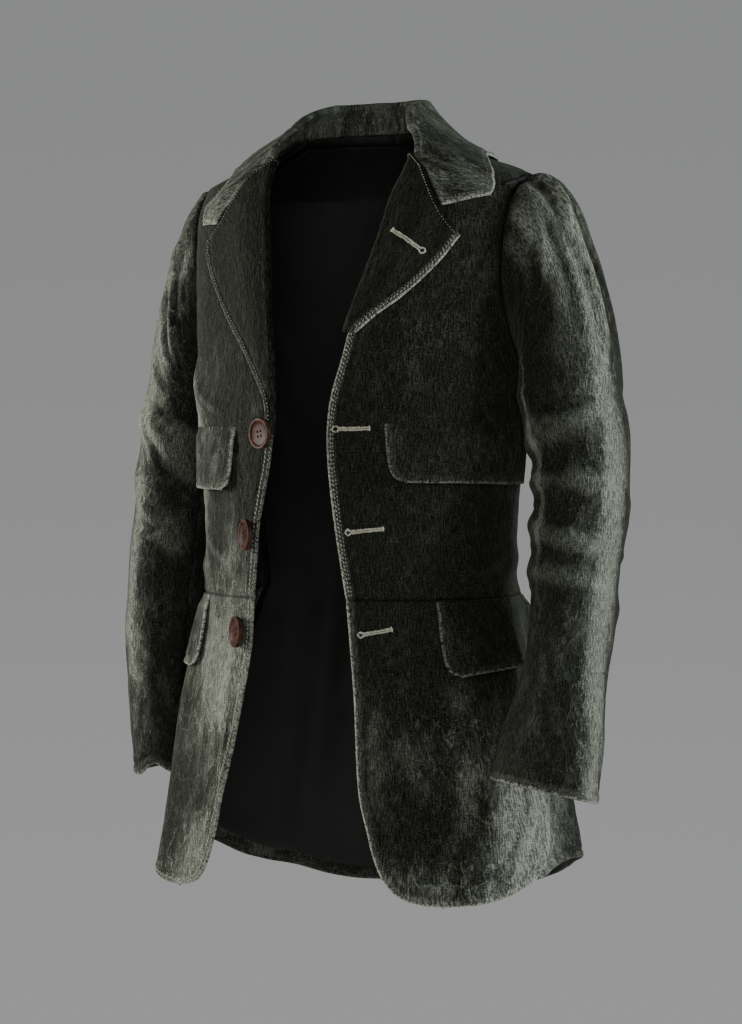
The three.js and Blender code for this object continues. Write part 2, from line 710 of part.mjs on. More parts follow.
function thickened(grid, out, back) {
  // Two faces on both sides of a grid of points, along its own normals.
  const rows = grid.length;
  const columns = grid[0].length;
  const faces = [[], []];
  for (let row = 0; row < rows; row += 1) {
    faces[0].push([]);
    faces[1].push([]);
    for (let column = 0; column < columns; column += 1) {
      const up = grid[Math.min(rows - 1, row + 1)][column].clone()
        .sub(grid[Math.max(0, row - 1)][column]);
      const across = grid[row][Math.min(columns - 1, column + 1)].clone()
        .sub(grid[row][Math.max(0, column - 1)]);
      const normal = up.cross(across).normalize();
      faces[0][row].push(grid[row][column].clone().addScaledVector(normal, out));
      faces[1][row].push(grid[row][column].clone().addScaledVector(normal, -back));
    }
  }
  return faces;
}

// ---------------------------------------------------------------- sleeves
function wrapped(angle) {
  return ((((angle + 180) % 360) + 360) % 360) - 180;
}

function armholeCorners(side) {
  // Corners of the armhole as the two panels have them, by the angle round the sleeve.
  const half = (from, turn) => {
    const curve = curveThrough(armholeEdge(from, turn));
    return steps(ARMHOLE_STEPS).map((share) => {
      const [place, level, angle] = curve(share);
      return { angle, point: onBody(place, level, side) };
    });
  };
  return [...half(-180, SEAM_TURN), ...half(180, -SEAM_TURN).reverse()];
}

function sleeveMaker(side) {
  const headRow = smoothRows(HEAD_ROWS[sideName(side)]);
  const rows = SLEEVE_ROWS[sideName(side)].slice().reverse();
  const path = smoothRows(rows.map((row, index) => [index / (rows.length - 1), ...row]));
  const centre = (share) => {
    const [level, out, ahead] = path(share);
    return new THREE.Vector3(side * out, ahead, level);
  };
  const [leanOut, leanBack] = CUFF_LEAN[sideName(side)];
  const ring = (angle, share) => {
    const [, , , width, depth] = path(share);
    const down = centre(Math.min(1, share + 0.04)).sub(centre(Math.max(0, share - 0.04)));
    down.normalize();
    const level = share < 0.08 ? share / 0.08 : 1;
    down.lerp(new THREE.Vector3(0, 0, -1), 1 - level);
    const late = easeBetween(0.7, 1, share);
    down.add(new THREE.Vector3(side * leanOut * late, leanBack * late, 0)).normalize();
    const ahead = new THREE.Vector3(0, -1, 0).addScaledVector(down, down.y).normalize();
    const out = ahead.clone().cross(down).multiplyScalar(side).normalize();
    if (out.x * side < 0) out.negate();
    const turn = (angle * Math.PI) / 180;
    return {
      point: centre(share)
        .addScaledVector(out, width * Math.cos(turn))
        .addScaledVector(ahead, depth * Math.sin(turn)),
      down,
    };
  };
  const corners = armholeCorners(side);
  const head = (angle, share) => {
    const [turn, level] = armholeAt(angle);
    const [reach, rise, lead] = headRow(Math.abs(angle));
    const after = Math.max(1, corners.findIndex((corner) => corner.angle > angle));
    const [low, high] = [corners[after - 1], corners[after]];
    const part = (angle - low.angle) / (high.angle - low.angle);
    const from = low.point.clone().lerp(high.point, part);
    const [turnOn, levelOn] = armholeAt(wrapped(angle + 2));
    const loop = onBody(turnOn, levelOn, side).sub(onBody(turn, level, side)).normalize();
    const normal = bodyNormal(turn, level, side);
    const inward = loop.clone().cross(normal).normalize();
    const middle = onBody(94, -140, side, 0);
    if (inward.dot(middle.sub(from)) < 0) inward.negate();
    const start = from.clone().addScaledVector(inward, SLEEVE_START);
    const end = ring(angle, 0);
    const first = start.clone()
      .add(new THREE.Vector3(side * reach, 0, rise * Math.cos((angle * Math.PI) / 180)));
    const second = end.point.clone().addScaledVector(end.down, -lead);
    const rest = 1 - share;
    return start.multiplyScalar(rest ** 3)
      .addScaledVector(first, 3 * rest * rest * share)
      .addScaledVector(second, 3 * rest * share * share)
      .addScaledVector(end.point, share ** 3);
  };
  const plain = (angle, share) => {
    const turned = wrapped(angle);
    return share < SLEEVE_HEAD
      ? head(turned, share / SLEEVE_HEAD)
      : ring(turned, (share - SLEEVE_HEAD) / (1 - SLEEVE_HEAD)).point;
  };
  const normalAt = (angle, share) => {
    const low = Math.max(0, share - 0.006);
    const high = Math.min(1, share + 0.006);
    const along = plain(angle, high).sub(plain(angle, low));
    const around = plain(angle + 1.5, share).sub(plain(angle - 1.5, share));
    return around.cross(along).multiplyScalar(-side).normalize();
  };
  const bulge = (angle, share) => {
    const turned = wrapped(angle);
    let sum = 0;
    for (const [at, width, height, length] of GATHERS) {
      const place = share / (SLEEVE_HEAD * length);
      const fade = easeBetween(0, 0.14, place) * (1 - easeBetween(0.3, 1, place));
      sum += height * fade * Math.exp(-(((turned - at) / width) ** 2));
    }
    for (const row of SLEEVE_FOLDS) {
      if (row[6] !== 0 && row[6] !== side) continue;
      const scaled = [row[0], row[1] * 560, row[2], row[3] * 560, row[4], row[5]];
      sum += foldHeight(turned, share * 560, scaled, 0.8) * easeBetween(0.3, 0.42, share);
    }
    return sum;
  };
  return (angle, share, below) => {
    const normal = normalAt(angle, share);
    return plain(angle, share).addScaledVector(normal, bulge(angle, share) - below);
  };
}

function addSleeves(add, side) {
  const name = sideName(side);
  const at = sleeveMaker(side);
  const [hind, fore] = SLEEVE_SEAMS;
  const rows = [...steps(8, 0, SLEEVE_HEAD), ...steps(10, SLEEVE_HEAD, 1).slice(1)];
  const vent = (share) => CUFF_VENT.turn * easeBetween(CUFF_VENT.start, 1, share);
  const piece = (from, to, columns) => {
    const grid = (below) =>
      rows.map((share) => {
        const open = vent(share);
        const low = from === hind ? from + SLEEVE_SEAM_GAP + open : from + SLEEVE_SEAM_GAP;
        const high = to === hind + 360 ? to - SLEEVE_SEAM_GAP - open : to - SLEEVE_SEAM_GAP;
        const spread = (angle) => low + ((high - low) * (angle - from)) / (to - from);
        return columns.map((angle) => at(spread(angle), share, below));
      });
    return slab(grid(0), grid(VELVET));
  };
  add(`sleeve_top_${name}`, "velvet", piece(hind, fore, TOP_SLEEVE_COLUMNS));
  add(`sleeve_under_${name}`, "velvet", piece(fore, hind + 360, steps(7, fore, hind + 360)));
}

// ---------------------------------------------------------------- buttons
function addButton(add, name, turn, level, lean) {
  const radius = BUTTON_RADIUS;
  const half = BUTTON_THICKNESS / 2;
  const outline = [
    [0, -half], [0.62 * radius, -half], [0.93 * radius, -0.4 * half], [radius, 0.15 * half],
    [0.97 * radius, 0.8 * half], [0.88 * radius, half], [0.74 * radius, 0.75 * half],
    [0.62 * radius, 0.1 * half], [0.3 * radius, -0.1 * half], [0, -0.15 * half],
  ];
  const around = 18;
  const places = [];
  for (const [reach, height] of outline.slice(1, -1)) {
    for (let step = 0; step < around; step += 1) {
      const angle = (step / around) * 2 * Math.PI;
      places.push(reach * Math.cos(angle), reach * Math.sin(angle), height);
    }
  }
  const rings = outline.length - 2;
  places.push(0, 0, outline[0][1], 0, 0, outline[outline.length - 1][1]);
  const faces = [];
  for (let step = 0; step < around; step += 1) {
    const next = (step + 1) % around;
    for (let ring = 0; ring + 1 < rings; ring += 1) {
      const [low, high] = [ring * around, (ring + 1) * around];
      faces.push(low + step, low + next, high + next, low + step, high + next, high + step);
    }
    faces.push(rings * around, next, step);
    const last = (rings - 1) * around;
    faces.push(rings * around + 1, last + step, last + next);
  }
  const geometry = facingOut(places, faces);
  const normal = bodyNormal(turn, level, -1);
  const pose = new THREE.Quaternion().setFromUnitVectors(new THREE.Vector3(0, 0, 1), normal);
  geometry.applyQuaternion(pose);
  geometry.rotateZ((-lean * Math.PI) / 180);
  const centre = onBody(turn, level, -1, BUTTON_STAND);
  geometry.translate(centre.x, centre.y, centre.z);
  add(name, "horn", geometry);
}

// ---------------------------------------------------------------- the jacket
function buildJacket() {
  const jacket = new THREE.Group();
  jacket.name = "field_jacket";
  const add = (name, slot, geometry) => {
    const mesh = new THREE.Mesh(geometry, FINISHES[slot]());
    mesh.name = name;
    jacket.add(mesh);
  };
  for (const side of [1, -1]) {
    const name = sideName(side);
    addPanels(add, side);
    addLapel(add, side);
    addSleeves(add, side);
    addFlap(add, `chest_flap_${name}`, side, CHEST_FLAP[name], CHEST_FLAP.flare[name]);
    addFlap(add, `hip_flap_${name}`, side, HIP_FLAP[name], HIP_FLAP.flare[name]);
  }
  addCollar(add);
  for (const button of BUTTONS) addButton(add, ...button);
  return jacket;
}

export default buildJacket();
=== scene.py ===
"""A velvet field jacket, held open in the shape of its wearer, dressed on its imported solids.

Sizes are in millimetres until a mesh is made, and the front of the jacket faces -Y.
A place on the body is a turn from the centre front in degrees and a level in Z.
"""

from __future__ import annotations

import logging
import math
from dataclasses import dataclass, field
from enum import Enum
from functools import partial
from typing import Any, Callable, Iterable, Sequence

import bmesh
import bpy
import numpy as np
from mathutils import Matrix, Vector
from mathutils.kdtree import KDTree

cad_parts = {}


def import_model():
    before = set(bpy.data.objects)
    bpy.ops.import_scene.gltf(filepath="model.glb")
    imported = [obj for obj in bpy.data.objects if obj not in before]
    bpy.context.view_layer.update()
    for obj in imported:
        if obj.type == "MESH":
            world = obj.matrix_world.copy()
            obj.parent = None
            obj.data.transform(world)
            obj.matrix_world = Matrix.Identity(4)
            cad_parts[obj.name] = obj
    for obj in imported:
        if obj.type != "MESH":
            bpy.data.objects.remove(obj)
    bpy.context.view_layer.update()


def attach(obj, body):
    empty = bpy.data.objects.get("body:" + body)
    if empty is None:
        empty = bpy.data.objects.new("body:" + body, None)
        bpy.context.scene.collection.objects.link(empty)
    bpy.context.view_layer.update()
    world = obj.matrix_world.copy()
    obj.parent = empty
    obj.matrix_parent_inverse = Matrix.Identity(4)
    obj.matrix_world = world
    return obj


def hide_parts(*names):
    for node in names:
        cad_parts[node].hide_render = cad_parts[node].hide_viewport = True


LOG = logging.getLogger("jacket")
MM = 0.001
BODY = "root"
FAR = 400.0
Table = Sequence[Sequence[float]]
Array = np.ndarray
Curve = Callable[[Array], Array]
Patch = Callable[..., Array]
Material = bpy.types.Material
Tree = bpy.types.NodeTree
Piece = bpy.types.Object


# ---------------------------------------------------------------- names
class Side(Enum):
    """The wearer's left, on +X, or right."""

    LEFT = 1
    RIGHT = -1

    @property
    def label(self) -> str:
        """The side's name in the part."""
        return self.name.lower()


class Border(Enum):
    """What the border of a piece of cloth is."""

    FINISHED = "turned in and stitched"
    SEAM = "sewn to its neighbour"
    HIDDEN = "under another piece"


@dataclass(frozen=True)
class Pair:
    """A value for the wearer's left and one for the right."""

    left: Any
    right: Any

    def at(self, side: Side) -> Any:
        """The value for a side."""
        return self.left if side is Side.LEFT else self.right


def on_side(rows: Table, side: Side) -> list[Sequence[float]]:
    """Rows for one side or for both, without the last value, which says which."""
    return [row[:-1] for row in rows if row[-1] in (0, side.value)]


# ---------------------------------------------------------------- curves
def ease(low: float, high: float, value: Any) -> Any:
    """A soft step from 0 at low to 1 at high.

    Args:
        low: Where the step starts.
        high: Where it ends.
        value: Number or array to place on the step.

    Returns:
        The step's height, from 0 to 1.
    """
    share = np.clip((np.asarray(value, float) - low) / (high - low), 0.0, 1.0)
    return share * share * (3.0 - 2.0 * share)


def bell(value: Any, width: float) -> Any:
    """A soft hump of height 1 at value 0."""
    return np.exp(-((value / width) ** 2))


def cubic(rows: Table, slopes: Array) -> Curve:
    """A cubic curve through rows sorted by their first column.

    Args:
        rows: Key and values, one row each.
        slopes: Slope of every value at every row.

    Returns:
        A function from keys to values.
    """
    table = np.asarray(rows, float)
    keys, values = table[:, 0], table[:, 1:]

    def at(place: Any) -> Array:
        """Values at a place."""
        spot = np.asarray(place, float)
        low = np.clip(np.searchsorted(keys, spot, side="left") - 1, 0, len(keys) - 2)
        run = (keys[low + 1] - keys[low])[..., None]
        share = np.clip((spot - keys[low])[..., None] / run, 0.0, 1.0)
        square, cube = share**2, share**3
        return (
            (2 * cube - 3 * square + 1) * values[low]
            + (cube - 2 * square + share) * run * slopes[low]
            + (3 * square - 2 * cube) * values[low + 1]
            + (cube - square) * run * slopes[low + 1]
        )

    return at


def monotone(rows: Table) -> Curve:
    """A curve through rows that never swings past them."""
    table = np.asarray(rows, float)
    steps = np.diff(table[:, 1:], axis=0) / np.diff(table[:, 0])[:, None]
    before, after = steps[:-1], steps[1:]
    total = np.where(before + after == 0, 1.0, before + after)
    middle = np.where(before * after <= 0, 0.0, 2 * before * after / total)
    return cubic(rows, np.vstack([steps[:1], middle, steps[-1:]]))


def cardinal(rows: Table) -> Curve:
    """A curve through rows whose slopes come from the neighbouring rows."""
    table = np.asarray(rows, float)
    before = np.vstack([table[:1], table[:-1]])
    after = np.vstack([table[1:], table[-1:]])
    slopes = (after[:, 1:] - before[:, 1:]) / (after[:, :1] - before[:, :1])
    return cubic(rows, slopes)


def through(points: Table, scale: float = 2.3) -> Curve:
    """A soft curve through points, by share of its length.

    Args:
        points: Turn and level first, any values after.
        scale: Millimetres to a degree of turn.

    Returns:
        A function from a share to the values there.
    """
    table = np.asarray(points, float)
    steps = np.hypot(np.diff(table[:, 0]) * scale, np.diff(table[:, 1]))
    lengths = np.concatenate([[0.0], np.cumsum(np.maximum(steps, 1e-6))])
    return cardinal(np.column_stack([lengths / lengths[-1], table]))


def straight(start: Array, end: Array) -> Curve:
    """A straight edge between two corners, by share of its length."""
    return lambda share: start + np.asarray(share)[..., None] * (end - start)


def end_of(curve: Curve, share: float) -> Array:
    """The start of a curve, at share 0, or its end, at 1."""
    return curve(np.array([share]))[0]


def joined(parts: Sequence[tuple[Table, int]]) -> Curve:
    """One edge of several curves that meet at corners.

    Args:
        parts: The points of each curve and its number of steps in the solid.

    Returns:
        A function from the share of all steps to the values there.
    """
    curves = [through(points) for points, _ in parts]
    stops = np.cumsum([0] + [steps for _, steps in parts])

    def at(share: Any) -> Array:
        """Values at a share of the steps."""
        place = np.asarray(share, float) * stops[-1]
        part = np.clip(np.searchsorted(stops, place, side="left") - 1, 0, len(curves) - 1)
        found = np.zeros(place.shape + (2,))
        for index, curve in enumerate(curves):
            here = part == index
            if np.any(here):
                run = stops[index + 1] - stops[index]
                found[here] = curve((place[here] - stops[index]) / run)[..., :2]
        return found

    return at


def patch(bottom: Curve, top: Curve, inner: Curve, outer: Curve) -> Patch:
    """Turn and level inside four edges.

    Args:
        bottom: Edge at up 0, by share across.
        top: Edge at up 1.
        inner: Edge at across 0, by share up.
        outer: Edge at across 1.

    Returns:
        A function from lists of shares across and up to a grid of turns and levels.
    """

    def at(across: Array, up: Array) -> Array:
        """Grid of turns and levels, a row for each share up."""
        a, u = across[None, :, None], up[:, None, None]
        low, high = bottom(across)[None], top(across)[None]
        near, far = inner(up)[:, None], outer(up)[:, None]
        ends = np.array([0.0, 1.0])
        (c0, c1), (c2, c3) = bottom(ends), top(ends)
        blend = (1 - u) * ((1 - a) * c0 + a * c1) + u * ((1 - a) * c2 + a * c3)
        return (1 - u) * low + u * high + (1 - a) * near + a * far - blend

    return at


def spaced(length: float, step: float, fine: float, low: bool, high: bool) -> Array:
    """Shares along a piece, closer together at the ends that are finished edges.

    Args:
        length: The piece's length in millimetres.
        step: Usual distance between places.
        fine: Distance within the first 12 mm of a finished edge.
        low: Whether the start is a finished edge.
        high: Whether the end is.

    Returns:
        Shares from 0 to 1.
    """
    dense = np.linspace(0, length, 4000)
    near = np.full_like(dense, 1e9)
    near = np.minimum(near, dense) if low else near
    near = np.minimum(near, length - dense) if high else near
    size = fine + (step - fine) * ease(8, 18, near)
    count = np.concatenate([[0.0], np.cumsum(np.diff(dense) / size[1:])])
    total = max(2, int(round(count[-1])))
    return np.interp(np.linspace(0, count[-1], total + 1), count, dense) / length


def ripple(u: Array, v: Array, size: float, seed: int, waves: int = 9) -> Array:
    """Smooth uneven relief of about -1 to 1 from seeded waves.

    Args:
        u: Place across in millimetres.
        v: Place along.
        size: Usual length of a wave.
        seed: Choice of waves.
        waves: How many are added.

    Returns:
        Height at each place.
    """
    source = np.random.default_rng(seed)
    total = np.zeros(np.broadcast(u, v).shape)
    for _ in range(waves):
        angle, phase = source.uniform(0, 2 * math.pi, 2)
        wave = size * source.uniform(0.65, 1.7)
        total += np.sin((u * math.cos(angle) + v * math.sin(angle)) * 2 * math.pi / wave + phase)
    return total * 1.4 / waves


def beside_line(across: Any, along: Any, row: Sequence[float], scale: float) -> tuple[Any, Any, Any, float]:
    """Where places lie by a straight line on the cloth.

    Args:
        across: Turn or angle in degrees.
        along: Level or length in millimetres.
        row: Across and along of the line's start and of its end, with any values after.
        scale: Millimetres to a degree.

    Returns:
        Share of the line, distance beside it, distance past its ends, and its length.
    """
    run = np.array([(row[2] - row[0]) * scale, row[3] - row[1]])
    length = float(np.hypot(*run))
    step_across, step_along = (across - row[0]) * scale, along - row[1]
    share = (step_across * run[0] + step_along * run[1]) / length**2
    beside = (step_across * run[1] - step_along * run[0]) / length
    over = np.maximum(0, np.maximum(-share, share - 1)) * length
    return share, beside, over, length


def broad_fold(across: Any, along: Any, row: Sequence[float], scale: float) -> Any:
    """Height of a fold with long soft ends; after the line, its row has half width and height."""
    _, beside, over, _ = beside_line(across, along, row, scale)
    width, height = row[4:6]
    return height * np.exp(-((beside / width) ** 2) - (over / (2 * width)) ** 2)


def crease(across: Any, along: Any, row: Sequence[float], scale: float) -> Any:
    """Height of a narrow bowed ridge and trough; its row ends with the trough's share of the height."""
    share, beside, over, length = beside_line(across, along, row, scale)
    width, height, trough = row[4:7]
    bowed = beside + 0.06 * length * np.sin(math.pi * np.clip(share, 0, 1))
    taper = 0.35 + 0.65 * np.sin(math.pi * np.clip(share, 0.02, 0.98)) ** 0.6
    dip = trough * bell(bowed - 1.9 * width, 1.1 * width)
    return height * (bell(bowed, width) - dip) * bell(over, 1.6 * width) * taper


def rubbed(across: Array, along: Array, base: float, places: Table, side: Side) -> Array:
    """How pale the pile is at each place, from real rubbing and from painted highlight where the cloth faces
    a lamp.

    Args:
        across: Turn or angle.
        along: Level or share of the length.
        base: What the whole piece has.
        places: Middle, reach both ways, amount and side of each pale place, real rubbing and painted
            highlight.
        side: The wearer's left or right.

    Returns:
        Paleness from rubbing and painted highlight, from 0 to 1.
    """
    total = np.full(across.shape, base)
    for at_across, at_along, reach_across, reach_along, amount in on_side(places, side):
        away = ((across - at_across) / reach_across) ** 2 + ((along - at_along) / reach_along) ** 2
        total = total + amount * np.exp(-away)
    return np.clip(total, 0.0, 1.0)


# ---------------------------------------------------------------- grids and cloth
def unit(vectors: Array) -> Array:
    """Vectors of length 1 in the same directions."""
    length = np.linalg.norm(vectors, axis=-1, keepdims=True)
    return vectors / np.maximum(length, 1e-9)


def grid_normals(points: Array, outward: Array | None = None) -> Array:
    """Normals of a grid of places.

    Args:
        points: Rows, columns and three coordinates.
        outward: Directions that the normals should roughly have.

    Returns:
        Normals of the same shape.
    """
    around = np.gradient(points, axis=1)
    along = np.gradient(points, axis=0)
    normal = unit(np.cross(around, along))
    if outward is not None and np.sum(normal * outward) < 0:
        normal = -normal
    return normal


def softened(field_values: Array, rounds: int) -> Array:
    """A grid of values with each place drawn to its neighbours, borders kept."""
    smooth = field_values.copy()
    for _ in range(rounds):
        inside = smooth[1:-1, 1:-1]
        inside[...] = (
            0.4 * inside
            + 0.15 * (smooth[:-2, 1:-1] + smooth[2:, 1:-1] + smooth[1:-1, :-2] + smooth[1:-1, 2:])
        )
    return smooth


def nearest(points: Array, lines: Sequence[Array]) -> Array:
    """Distance from each place of a grid to the nearest of some lines, in millimetres."""
    if not lines:
        return np.full(points.shape[:2], FAR)
    dense = []
    for line in lines:
        for start, end in zip(line[:-1], line[1:]):
            count = max(1, int(np.linalg.norm(end - start) / 0.7))
            dense.append(start + (end - start) * (np.arange(count) / count)[:, None])
        dense.append(line[-1:])
    cloud = np.vstack(dense)
    tree = KDTree(len(cloud))
    for index, place in enumerate(cloud):
        tree.insert(place, index)
    tree.balance()
    flat = points.reshape(-1, 3)
    return np.array([tree.find(place)[2] for place in flat]).reshape(points.shape[:2])


HAND: Table = (
    # height, length of a wave, squash along the cloth, and 1 where it fades at edges and seams
    (1.1, 58, 0.55, 1),
    (0.42, 23, 0.7, 1),
    (0.14, 9, 1.0, 0),
)
STITCH_PULL = 0.45
STITCH_PUFF = 0.4
SEAM_PUCKER = 0.45


@dataclass
class Cloth:
    """A piece of cloth as a grid of places, before it is given a wall."""

    name: str
    points: Array
    flat: Array
    outward: Array
    bottom: Border = Border.SEAM
    top: Border = Border.SEAM
    inner: Border = Border.SEAM
    outer: Border = Border.SEAM
    fray: float = 0.4
    edge: Array = field(init=False)
    seam: Array = field(init=False)
    relief: Array = field(init=False)
    # how pale the pile is painted at each place: real rubbing mixed with painted highlight
    wear: Array = field(init=False)

    def __post_init__(self) -> None:
        """Finds how far every place is from the finished edges and from the seams."""
        self.edge = nearest(self.points, self.borders(Border.FINISHED))
        self.seam = nearest(self.points, self.borders(Border.SEAM))
        self.relief = np.zeros(self.edge.shape)
        self.wear = np.full(self.edge.shape, 0.35)

    def borders(self, kind: Border) -> list[Array]:
        """The lines of places along the borders of one kind."""
        lines = [
            (self.bottom, self.points[0]),
            (self.top, self.points[-1]),
            (self.inner, self.points[:, 0]),
            (self.outer, self.points[:, -1]),
        ]
        return [line for border, line in lines if border is kind]

    def listed(self) -> tuple[Array, Array]:
        """Places and their normals, one after another."""
        normals = grid_normals(self.points, self.outward)
        return self.points.reshape(-1, 3), normals.reshape(-1, 3)

    def waves(self, size: float, seed: int, squash: float = 1.0) -> Array:
        """Uneven relief of about -1 to 1 over the flat cloth."""
        return ripple(self.flat[..., 0], squash * self.flat[..., 1], size, seed)

    def welt(self, width: float, height: float, seed: int) -> None:
        """Raises the turned-in edge up to its row of stitches.

        Args:
            width: Distance of the stitches from the edge.
            height: How far the band between stands up.
            seed: Choice of its uneven thickness.
        """
        uneven = 1 + 0.35 * self.waves(26, seed)
        band = np.clip(self.edge / width, 0, 1)
        self.relief += height * uneven * np.sin(math.pi * band) ** 0.8 * (self.edge < width)
        pull = bell(self.edge - width, 1.5)
        self.relief -= STITCH_PULL * pull * (1 + 0.5 * self.waves(9, seed + 1))
        puff = bell(self.edge - width - 5, 3.5)
        self.relief += STITCH_PUFF * puff * (1 + 0.6 * self.waves(14, seed + 2))

    def valley(self, depth: float, width: float, seed: int) -> None:
        """Draws the cloth in at its seams, with small puckers across them."""
        self.relief -= depth * bell(self.seam, width)
        self.relief += SEAM_PUCKER * bell(self.seam - 4, 7) * self.waves(15, seed)

    def unevenness(self, seed: int, amount: float = 1.0) -> None:
        """Adds the soft hand of old, much-used velvet."""
        calm = ease(0, 14, np.minimum(self.edge, self.seam))
        for index, (height, size, squash, fades) in enumerate(HAND):
            wave = self.waves(size, seed + index, squash)
            self.relief += amount * height * wave * (calm if fades else 1.0)

    def settle(self) -> None:
        """Moves the places out by the relief."""
        normal = grid_normals(self.points, self.outward)
        self.points = self.points + normal * self.relief[..., None]


@dataclass(frozen=True)
class Wall:
    """The thickness of a piece of cloth and what is on its inner face.

    The facing is the width of outer cloth that is turned in along the finished edges.
    """

    thickness: float
    facing: float = 0.0
    rim_turns: tuple[float, ...] = (40, 90, 140)

    def build(self, cloth: Cloth, outer: Material, inner: Material) -> Piece:
        """Makes a closed shell with a rounded rim.

        Args:
            cloth: The piece's outer face.
            outer: Finish of the outer face and rim.
            inner: Finish of the inner face beyond the facing.

        Returns:
            The finished object.
        """
        points = cloth.points
        rows, columns = points.shape[:2]
        normal = grid_normals(points, cloth.outward)
        layer = rows * columns
        ring = self.border(rows, columns)
        half = self.thickness / 2
        middle = (points - normal * half).reshape(-1, 3)[ring]
        out = self.rim_directions(points, normal).reshape(-1, 3)[ring]
        up = normal.reshape(-1, 3)[ring]
        places = [points.reshape(-1, 3), (points - normal * self.thickness).reshape(-1, 3)]
        turns = np.radians(self.rim_turns)
        places += [middle + half * (math.cos(t) * up + math.sin(t) * out) for t in turns]
        faces = self.quads(rows, columns)
        count = len(ring)
        loops = [ring] + [2 * layer + k * count + np.arange(count) for k in range(len(turns))]
        loops.append(layer + ring)
        bands = []
        for upper, lower in zip(loops[:-1], loops[1:]):
            bands.append(np.stack([upper, lower, np.roll(lower, -1), np.roll(upper, -1)], 1))
        sides = np.vstack(bands)
        outer_faces, inner_faces = faces, faces[:, ::-1] + layer
        everything = np.vstack([outer_faces, inner_faces, sides])
        coordinates = np.vstack(places) * MM
        if self.volume(coordinates, everything) < 0:
            everything = everything[:, ::-1]
        mesh = bpy.data.meshes.new(cloth.name)
        mesh.from_pydata(coordinates.tolist(), [], everything.tolist())
        mesh.materials.append(outer)
        mesh.materials.append(inner)
        inside = np.zeros(len(everything), np.int32)
        facing = cloth.edge.reshape(-1)[outer_faces].min(1) > self.facing
        inside[len(outer_faces) : len(outer_faces) + len(inner_faces)] = facing
        mesh.polygons.foreach_set("material_index", inside)
        self.mark(mesh, cloth, ring, len(turns))
        mesh.validate()
        mesh.shade_smooth()
        return placed(cloth.name, mesh)

    @staticmethod
    def border(rows: int, columns: int) -> Array:
        """Indices of a grid's border, once round."""
        index = np.arange(rows * columns).reshape(rows, columns)
        return np.concatenate(
            [index[0, :-1], index[:-1, -1], index[-1, :0:-1], index[:0:-1, 0]]
        )

    @staticmethod
    def quads(rows: int, columns: int) -> Array:
        """Faces of a grid of places."""
        index = np.arange(rows * columns).reshape(rows, columns)
        corners = [index[:-1, :-1], index[:-1, 1:], index[1:, 1:], index[1:, :-1]]
        return np.stack([corner.reshape(-1) for corner in corners], 1)

    @staticmethod
    def rim_directions(points: Array, normal: Array) -> Array:
        """Directions out of the piece in its own surface, at its borders."""
        out = np.zeros_like(points)
        out[0] += unit(points[0] - points[1])
        out[-1] += unit(points[-1] - points[-2])
        out[:, 0] += unit(points[:, 0] - points[:, 1])
        out[:, -1] += unit(points[:, -1] - points[:, -2])
        out -= normal * np.sum(out * normal, axis=-1, keepdims=True)
        return unit(out)

    @staticmethod
    def volume(places: Array, faces: Array) -> float:
        """Six times the signed volume inside some faces."""
        a, b, c, d = (places[faces[:, k]] for k in range(4))
        first = np.einsum("ij,ij->i", a, np.cross(b, c)).sum()
        return float(first + np.einsum("ij,ij->i", a, np.cross(c, d)).sum())

    @staticmethod
    def mark(mesh: bpy.types.Mesh, cloth: Cloth, ring: Array, rims: int) -> None:
        """Gives a mesh its flat places and its distances from edges and seams."""
        flat = cloth.flat.reshape(-1, 2)
        spread = np.vstack([flat, flat] + [flat[ring]] * rims) * MM
        corners = np.empty(len(mesh.loops), np.int32)
        mesh.loops.foreach_get("vertex_index", corners)
        layer = mesh.uv_layers.new(name="cloth")
        layer.data.foreach_set("uv", spread[corners].astype(np.float32).ravel())
        lift = softened(cloth.relief, 2)
        fray = np.full(lift.shape, cloth.fray)
        # along with edges and seams, each place keeps its paleness, real rubbing mixed with painted highlight
        values = {"edge": cloth.edge, "seam": cloth.seam, "lift": lift, "wear": cloth.wear, "fray": fray}
        for label, grid in values.items():
            line = grid.reshape(-1)
            whole = np.concatenate([line, line] + [line[ring]] * rims).astype(np.float32)
            mesh.attributes.new(label, "FLOAT", "POINT").data.foreach_set("value", whole)


def placed(name: str, data: Any) -> Piece:
    """A new object in the scene."""
    piece = bpy.data.objects.new(name, data)
    bpy.context.scene.collection.objects.link(piece)
    return piece


def shape(add: Callable[..., Any], **values: Any) -> Piece:
    """Adds a simple shape, the only one selected."""
    bpy.ops.object.select_all(action="DESELECT")
    add(**values)
    return bpy.context.object


# ---------------------------------------------------------------- finishes
def linear(code: str) -> tuple[float, float, float, float]:
    """An sRGB hex colour as linear RGBA."""
    parts = [int(code[k : k + 2], 16) / 255 for k in (1, 3, 5)]
    return (*(c / 12.92 if c <= 0.04045 else ((c + 0.055) / 1.055) ** 2.4 for c in parts), 1.0)


def node(tree: Tree, kind: str, settings: dict | None = None, **links: Any) -> Any:
    """Adds a node with its settings and links.

    Args:
        tree: Node tree of the material.
        kind: Type of node.
        settings: Properties of the node.
        **links: Input names, with spaces as _ and input numbers as in0, and what goes in.

    Returns:
        The node.
    """
    made = tree.nodes.new(kind)
    for name, value in (settings or {}).items():
        setattr(made, name, value)
    for name, value in links.items():
        number = name[2:] if name.startswith("in") and name[2:].isdigit() else None
        socket = made.inputs[int(number) if number else name.replace("_", " ")]
        if isinstance(value, bpy.types.NodeSocket):
            tree.links.new(value, socket)
        else:
            socket.default_value = value
    return made


def blank(name: str) -> tuple[Material, Tree]:
    """A new material with an empty tree."""
    material = bpy.data.materials.new(name)
    material.use_nodes = True
    material.node_tree.nodes.clear()
    return material, material.node_tree


def speckled(tree: Tree, scale: float, detail: float, **more: Any) -> Any:
    """Noise over places in metres, with about that many spots to a metre."""
    place = node(tree, "ShaderNodeTexCoord").outputs["Object"]
    return node(tree, "ShaderNodeTexNoise", None, Vector=place, Scale=scale, Detail=detail, **more).outputs[0]


